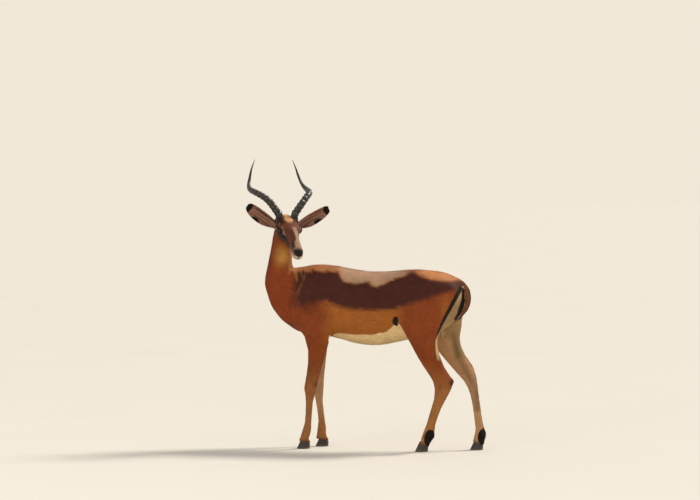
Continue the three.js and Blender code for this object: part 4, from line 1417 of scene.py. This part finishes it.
def coat_material(name, grain, tips, variation, bump):
    material, g, shader = new_material(name)
    group = g.add("ShaderNodeGroup", node_tree=coat_group())
    group.inputs["Grain"].default_value = grain
    group.inputs["Tip lightening"].default_value = tips
    group.inputs["Tuft variation"].default_value = variation
    g.set(shader.inputs["Base Color"], group.outputs["Colour"])
    g.set(shader.inputs["Roughness"], group.outputs["Roughness"])
    g.bump(shader, bump, 0.0012, group.outputs["Height"])
    shader.inputs["Specular IOR Level"].default_value = 0.14
    shader.inputs["Sheen Weight"].default_value = 0.04
    shader.inputs["Sheen Roughness"].default_value = 0.45
    shader.inputs["Sheen Tint"].default_value = (1.0, 0.85, 0.7, 1.0)
    return material


def horn_material():
    material, g, shader = new_material("Horn")
    c = settings("horns")
    place = g.field("place")
    crest = g.field("crest")
    grain = g.noise(place, 260.0, 4.0)
    blotch = g.noise(place, 55.0, 3.0)
    # The paler crests are wear on the ridges and also a painted highlight, stronger on the front and upper
    # faces.
    worn = g.edge(g.plus(g.plus(crest, grain, 0.7), blotch, 0.9), 0.3, 0.85)
    base = g.mix(worn, tuple(c.dark), tuple(c.light))
    shade = g.edge(grain, 0.35)
    base = g.mix(g.math("MULTIPLY", shade, 0.35), base, darker(c.dark, 0.55))
    g.set(shader.inputs["Base Color"], base)
    g.set(shader.inputs["Roughness"], g.plus(0.34, grain, 0.3))
    g.bump(shader, 0.5, 0.0008, grain)
    return material


def hoof_material():
    material, g, shader = new_material("Hoof horn")
    c = settings("hooves")
    place = g.field("place")
    rings = g.noise(place, 260.0, 3.0, (0.15, 0.15, 2.2))
    grain = g.noise(place, 320.0, 3.0)
    low = g.add("ShaderNodeSeparateXYZ", {0: place}).outputs[2]
    worn = g.plus(g.math("SUBTRACT", WORN_HEIGHT, low), grain, WORN_HEIGHT)
    base = g.mix(g.edge(worn, 0.006), tuple(c.wall), tuple(c.edge))
    base = g.mix(g.edge(rings, 0.3), base, darker(c.wall, 0.6))
    g.set(shader.inputs["Base Color"], base)
    g.set(shader.inputs["Roughness"], g.plus(0.46, grain, 0.25))
    g.bump(shader, 0.5, 0.0006, rings)
    return material


def eye_material():
    material, g, shader = new_material("Eye")
    c = settings("eyes")
    rays = g.noise(g.field("place"), 900.0, 2.0)
    base = g.mix(g.edge(g.plus(g.field("iris"), rays, 0.2), 0.12), EYE_RIM, tuple(c.iris))
    base = g.mix(g.edge(g.field("pupil"), 0.08), base, tuple(c.pupil))
    g.set(shader.inputs["Base Color"], base)
    g.set(shader.inputs["Roughness"], g.plus(0.12, rays, 0.06))
    shader.inputs["Specular IOR Level"].default_value = 0.08
    shader.inputs["Coat Weight"].default_value = 0.22
    shader.inputs["Coat Roughness"].default_value = 0.02
    return material


def floor_material():
    material, g, shader = new_material("Studio floor")
    place = g.add("ShaderNodeNewGeometry").outputs["Position"]
    cloud = g.noise(place, 1.3, 3.0)
    tone = tuple(settings("stage").floor)
    base = g.mix(g.edge(cloud, 0.5), tone, darker(tone, 0.97))
    g.set(shader.inputs["Base Color"], base)
    g.set(shader.inputs["Roughness"], g.plus(0.75, cloud, 0.1))
    return material


# ---------- Horns, eyes and hooves ----------
HORN_LINE = [(37, -3, -34), (41, -1, -6), (59, 1, 21), (81, 3, 50), (106, 19, 77), (137, 62, 101),
             (147, 126, 116), (142, 172, 137), (129, 196, 176), (115, 207, 224), (98, 209, 267)]
HORN_TAPER = [(0, 1.02), (0.25, 0.92), (0.45, 0.8), (0.6, 0.64), (0.7, 0.46), (0.85, 0.28), (1, 0.05)]
HORN_RADIUS = 18.4
RINGED_SHARE = 0.7
HORN_STEPS = 230
HORN_ROOT = 20.0  # how deep it stands in the head
HORN_SIDES = 28


def smooth_line(points, count):
    """Points at equal steps along a smooth curve through the given ones."""
    pts = np.asarray(points, float)
    pts = np.vstack([2 * pts[0] - pts[1], pts, 2 * pts[-1] - pts[-2]])
    fine = []
    for p0, p1, p2, p3 in zip(pts, pts[1:], pts[2:], pts[3:]):
        t0, t1 = 0.0, np.linalg.norm(p1 - p0) ** 0.5
        t2 = t1 + np.linalg.norm(p2 - p1) ** 0.5
        t3 = t2 + np.linalg.norm(p3 - p2) ** 0.5
        t = np.linspace(t1, t2, 60, endpoint=False)[:, None]
        a1 = (t1 - t) / (t1 - t0) * p0 + (t - t0) / (t1 - t0) * p1
        a2 = (t2 - t) / (t2 - t1) * p1 + (t - t1) / (t2 - t1) * p2
        a3 = (t3 - t) / (t3 - t2) * p2 + (t - t2) / (t3 - t2) * p3
        b1 = (t2 - t) / (t2 - t0) * a1 + (t - t0) / (t2 - t0) * a2
        b2 = (t3 - t) / (t3 - t1) * a2 + (t - t1) / (t3 - t1) * a3
        fine.append((t2 - t) / (t2 - t1) * b1 + (t - t1) / (t2 - t1) * b2)
    fine = np.vstack(fine + [pts[-2:-1]])
    far = np.concatenate([[0], np.cumsum(np.linalg.norm(np.diff(fine, axis=0), axis=1))])
    at = np.linspace(0, far[-1], count)
    return np.stack([np.interp(at, far, fine[:, k]) for k in range(3)], 1)


def grid_faces(rows, sides):
    i, j = np.meshgrid(np.arange(rows - 1), np.arange(sides), indexing="ij")
    k = (j + 1) % sides
    return np.stack([i * sides + j, i * sides + k, (i + 1) * sides + k, (i + 1) * sides + j], -1).reshape(-1, 4)


def tube(name, rings):
    """A closed tube through rings of points, with a flat face at each end."""
    rows, sides = rings.shape[:2]
    co = rings.reshape(-1, 3)
    obj = mesh_from(name, co, grid_faces(rows, sides))
    bm = bmesh.new()
    bm.from_mesh(obj.data)
    bm.verts.ensure_lookup_table()
    for start in (0, (rows - 1) * sides):
        loop = [bm.verts[start + j] for j in range(sides)]
        if start == 0:
            loop.reverse()
        bm.faces.new(loop)
    bmesh.ops.recalc_face_normals(bm, faces=bm.faces)
    bm.to_mesh(obj.data)
    bm.free()
    return obj


def horn_form(side):
    """Points and crest heights of one horn: knobbed ridges that fade into a smooth tip."""
    h = settings("horns")
    line = smooth_line([crown_point(side * r, behind, up) for r, behind, up in HORN_LINE], HORN_STEPS)
    t = np.linspace(0, 1, HORN_STEPS)
    tangent = unit(np.gradient(line, axis=0))
    normal = RIGHT.copy()
    rings, crests = [], []
    angles = np.linspace(0, 2 * math.pi, HORN_SIDES, endpoint=False)
    for i in range(HORN_STEPS):
        normal = unit(normal - tangent[i] * (normal @ tangent[i]))
        across = np.cross(tangent[i], normal)
        direction = np.outer(np.cos(angles), normal) + np.outer(np.sin(angles), across)
        front = direction @ AHEAD
        wave = t[i] / RINGED_SHARE * h.rings + 0.22 * front + 0.05 * np.sin(3 * angles + 7 * t[i])
        phase = wave % 1.0
        crest = np.where(phase < 0.62, phase / 0.62, (1 - phase) / 0.38) ** 1.5
        fade = step(RINGED_SHARE + 0.07, RINGED_SHARE - 0.1, t[i]) * step(0.02, 0.07, t[i])
        # Ridges stand higher on the front and upper faces, and as crest shares they paint the paler crests
        # there too, a painted highlight.
        strength = fade * (0.5 + 0.6 * step(-0.9, 0.8, front + 0.6 * (direction @ UP)))
        radius = HORN_RADIUS * curve(t[i], HORN_TAPER) * (0.8 + 0.2 * step(0.0, 0.05, t[i]))
        knob = 1 + 0.02 * np.sin(5 * angles + 13 * t[i] * h.rings)
        size = radius * knob * (1 + h.ridge * strength * (1.35 * crest - 0.55))
        rings.append(line[i] + direction * size[:, None])
        crests.append(crest * strength)
    buried = line[0] + 0.5 * (rings[0] - line[0]) - tangent[0] * HORN_ROOT - RIGHT * side * 0.4 * HORN_ROOT
    return np.array([buried] + rings), np.array([crests[0]] + crests)


def make_horns():
    material = horn_material()
    for word, side in SIDES.items():
        rings, crests = horn_form(side)
        obj = tube("horn_surface_" + word, to_row(rings))
        mark_places(obj)
        set_attribute(obj.data, "crest", crests.ravel())
        finish_piece(obj, "horn", material, "horn_" + word)


EYE_ROWS, EYE_SIDES = 40, 56
GAZE = (0.93, 0.38, -0.06)  # outwards, ahead and up
PUPIL_RADII, IRIS_RADIUS, CORNEA_RADIUS = (0.36, 0.2), 0.74, 0.55  # shares of the eyeball's
CORNEA_HEIGHT = 0.9
EYE_GAP = 0.25  # kept to the solid's surface


def make_eyes():
    material = eye_material()
    for word, side in SIDES.items():
        middle = eye_middle(side)
        gaze = unit(RIGHT * side * GAZE[0] + AHEAD * GAZE[1] + UP * GAZE[2])
        level = unit(np.cross(UP, gaze))
        over = np.cross(gaze, level)
        theta = np.linspace(0.02, math.pi - 0.02, EYE_ROWS)
        phi = np.linspace(0, 2 * math.pi, EYE_SIDES, endpoint=False)
        u = np.outer(np.sin(theta), np.cos(phi))
        v = np.outer(np.sin(theta), np.sin(phi))
        g = np.outer(np.cos(theta), np.ones(EYE_SIDES))
        cornea = CORNEA_HEIGHT * np.exp(-((np.hypot(u, v) / CORNEA_RADIUS) ** 4)) * (g > 0)
        bulge = EYE_RADIUS - EYE_GAP + cornea - CORNEA_HEIGHT
        co = middle + (u[..., None] * level + v[..., None] * over + g[..., None] * gaze) * bulge[..., None]
        obj = tube("eyeball_" + word, to_row(co))
        mark_places(obj)
        pupil = 1 - np.hypot(u / PUPIL_RADII[0], v / PUPIL_RADII[1])
        for name, share in (("pupil", pupil), ("iris", 1 - np.hypot(u, v) / IRIS_RADIUS)):
            set_attribute(obj.data, name, share.ravel() * (g.ravel() > 0))
        finish_piece(obj, "eye", material, "eye_" + word)


CLAW = {"length": 60.0, "width": 20.0, "height": 42.0, "cleft": 3.0, "heel": 0.42}
CLAW_ROWS = [(0, 0.985, 0.97, 0.6), (0.03, 1, 1.02, 0.1), (0.1, 1, 1.03, 0.3), (0.5, 0.87, 1, 9),
             (1, 0.72, 0.92, 19), (1.02, 0.66, 0.8, 20.5)]


def claw_form(toe, y, outward):
    """Rings of one claw, from the flat sole up the sloping wall, with a round bulb at the heel."""
    rows = np.array(CLAW_ROWS, float)
    ups = np.concatenate([rows[:3, 0], np.linspace(0.16, 1, 14), rows[-1:, 0]])
    angles = np.linspace(0, 2 * math.pi, 40, endpoint=False)
    c, s = np.cos(angles), np.sin(angles)
    rings = []
    for up in ups:
        long, wide, back = (curve(up, list(zip(rows[:, 0], rows[:, k]))) for k in (1, 2, 3))
        half_length = CLAW["length"] * long / 2
        ripple = 1 + 0.008 * math.sin(up * 40) * (0.1 < up < 0.95)
        point = 1 - 0.4 * np.maximum(0, -c)
        half = np.where(s * outward > 0, 0.72, 0.28) * CLAW["width"] * wide * ripple
        rings.append(np.stack([toe + back + half_length + half_length * c,
                               y + half * np.sign(s) * np.abs(s) ** 0.8 * point,
                               CLAW["height"] * up * (1 - CLAW["heel"] * (1 + c) / 2)], 1))
    return np.array(rings)


def make_hooves():
    material = hoof_material()
    for foot, (toe, y) in FEET.items():
        for side in (-1, 1):
            word = "outer" if np.sign(y) == side else "inner"
            rings = claw_form(toe, y + side * (CLAW["cleft"] / 2 + CLAW["width"] * 0.28), side)
            obj = tube(f"claw_{foot}_{word}", to_row(rings))
            mark_places(obj)
            finish_piece(obj, "hoof", material, f"hoof_{foot}_{word}")


# ---------- Stage ----------
CAMERA_PLACE = (2.7074, -11.6790, 1.2691)
CAMERA_AIM = (-0.0636, -0.0031, 0.9751)
CAMERA_LENS = 125.95
SENSOR_WIDTH = 36
VIEW_END = 200  # metres
FLOOR_RADIUS = 400
FLOOR_SIDES = 96
KEY_PLACE = (3.2, 2.6, 5.0)
KEY_TINT = (1.0, 0.94, 0.85)
KEY_SPREAD = math.radians(14)
FILL = {"place": (-3.0, -7.0, 4.0), "aim": (0, 0, 0.7), "size": 5.0, "power": 125.0, "tint": (1.0, 0.95, 0.88)}
SKY_TINT = (1.0, 0.955, 0.89)
BACKDROP = (241, 232, 215)  # what the far floor looks like, so that no line shows where it ends


def look_at(obj, place, aim):
    obj.location = place
    obj.rotation_euler = (Vector(aim) - Vector(place)).to_track_quat("-Z", "Y").to_euler()


def add_light(name, kind, place, aim, power, tint):
    light = bpy.data.lights.new(name, kind)
    light.energy = power
    light.color = tint
    obj = bpy.data.objects.new(name, light)
    bpy.context.scene.collection.objects.link(obj)
    look_at(obj, place, aim)
    return light


def make_stage():
    s = settings("stage")
    scene = bpy.context.scene
    camera = bpy.data.objects.new("camera", bpy.data.cameras.new("camera"))
    scene.collection.objects.link(camera)
    camera.data.lens = CAMERA_LENS
    camera.data.sensor_width = SENSOR_WIDTH
    camera.data.clip_end = VIEW_END
    look_at(camera, CAMERA_PLACE, CAMERA_AIM)
    scene.camera = camera

    bpy.ops.mesh.primitive_circle_add(vertices=FLOOR_SIDES, radius=FLOOR_RADIUS, fill_type="NGON")
    floor = bpy.context.object
    floor.name = "floor"
    floor.data.materials.append(floor_material())

    key = add_light("key", "SUN", KEY_PLACE, (0, 0, 0.5), s.sun, KEY_TINT)
    key.angle = KEY_SPREAD
    fill = add_light("front fill", "AREA", FILL["place"], FILL["aim"], FILL["power"], FILL["tint"])
    fill.shape = "DISK"
    fill.size = FILL["size"]

    world = bpy.data.worlds.new("studio")
    scene.world = world
    world.use_nodes = True
    nodes, links = world.node_tree.nodes, world.node_tree.links
    background = nodes["Background"]
    background.inputs["Color"].default_value = (*SKY_TINT, 1)
    background.inputs["Strength"].default_value = s.sky
    backdrop = nodes.new("ShaderNodeBackground")
    backdrop.inputs["Color"].default_value = (*colour(*BACKDROP), 1)
    seen = nodes.new("ShaderNodeLightPath")
    either = nodes.new("ShaderNodeMixShader")
    links.new(seen.outputs["Is Camera Ray"], either.inputs[0])
    links.new(background.outputs[0], either.inputs[1])
    links.new(backdrop.outputs[0], either.inputs[2])
    links.new(either.outputs[0], nodes["World Output"].inputs["Surface"])
    scene.view_settings.view_transform = "Standard"


# ---------- Operators ----------
class IMPALA_OT_skin(bpy.types.Operator):
    """Build the one skin that covers the flesh"""
    bl_idname = "impala.skin"
    bl_label = "Build the skin"

    def execute(self, context):
        obj = skin_form()
        thin_out(obj, SKIN_TRIANGLES)
        dress_skin(obj)
        finish_piece(obj, "coat", coat_material("Skin and short hair", 0.5, 0.0, 0.0, 0.6), *FLESH)
        return {"FINISHED"}


class IMPALA_OT_coat(bpy.types.Operator):
    """Grow the coat's tufts over the skin"""
    bl_idname = "impala.coat"
    bl_label = "Grow the coat"

    def execute(self, context):
        material = coat_material("Tufts", 0.2, 0.24, 0.22, 0.2)
        for obj in grow_tufts(bpy.data.objects["skin"]):
            finish_piece(obj, "coat", material)
        return {"FINISHED"}


class IMPALA_OT_eyes(bpy.types.Operator):
    """Build the two eyeballs"""
    bl_idname = "impala.eyes"
    bl_label = "Build the eyes"

    def execute(self, context):
        make_eyes()
        return {"FINISHED"}


class IMPALA_OT_horns(bpy.types.Operator):
    """Build the two ringed horns"""
    bl_idname = "impala.horns"
    bl_label = "Build the horns"

    def execute(self, context):
        make_horns()
        return {"FINISHED"}


class IMPALA_OT_hooves(bpy.types.Operator):
    """Build the eight claws of the hooves"""
    bl_idname = "impala.hooves"
    bl_label = "Build the hooves"

    def execute(self, context):
        make_hooves()
        return {"FINISHED"}


class IMPALA_OT_stage(bpy.types.Operator):
    """Lay the floor, and place the lights and the camera"""
    bl_idname = "impala.stage"
    bl_label = "Set the stage"

    def execute(self, context):
        make_stage()
        return {"FINISHED"}


OPERATORS = [IMPALA_OT_stage, IMPALA_OT_skin, IMPALA_OT_coat, IMPALA_OT_eyes, IMPALA_OT_horns, IMPALA_OT_hooves]


class IMPALA_PT_panel(bpy.types.Panel):
    """Settings and build steps"""
    bl_label = "Impala ram"
    bl_idname = "IMPALA_PT_panel"
    bl_space_type = "VIEW_3D"
    bl_region_type = "UI"
    bl_category = "Impala"

    def draw(self, context):
        for operator in OPERATORS:
            self.layout.operator(operator.bl_idname)
        for kind, group in SETTINGS.items():
            box = self.layout.box()
            box.label(text=kind.capitalize())
            for name in group.__annotations__:
                box.prop(settings(kind), name)


CLASSES = [*SETTINGS.values(), *OPERATORS, IMPALA_PT_panel]


def register():
    for cls in CLASSES:
        bpy.utils.register_class(cls)
    for kind, group in SETTINGS.items():
        setattr(bpy.types.Scene, "impala_" + kind, PointerProperty(type=group))


def unregister():
    for kind in SETTINGS:
        delattr(bpy.types.Scene, "impala_" + kind)
    for cls in reversed(CLASSES):
        bpy.utils.unregister_class(cls)


def main():
    register()
    for operator in OPERATORS:
        name = operator.bl_idname.split(".")[1]
        getattr(bpy.ops.impala, name)()


if __name__ == "__main__":
    main()
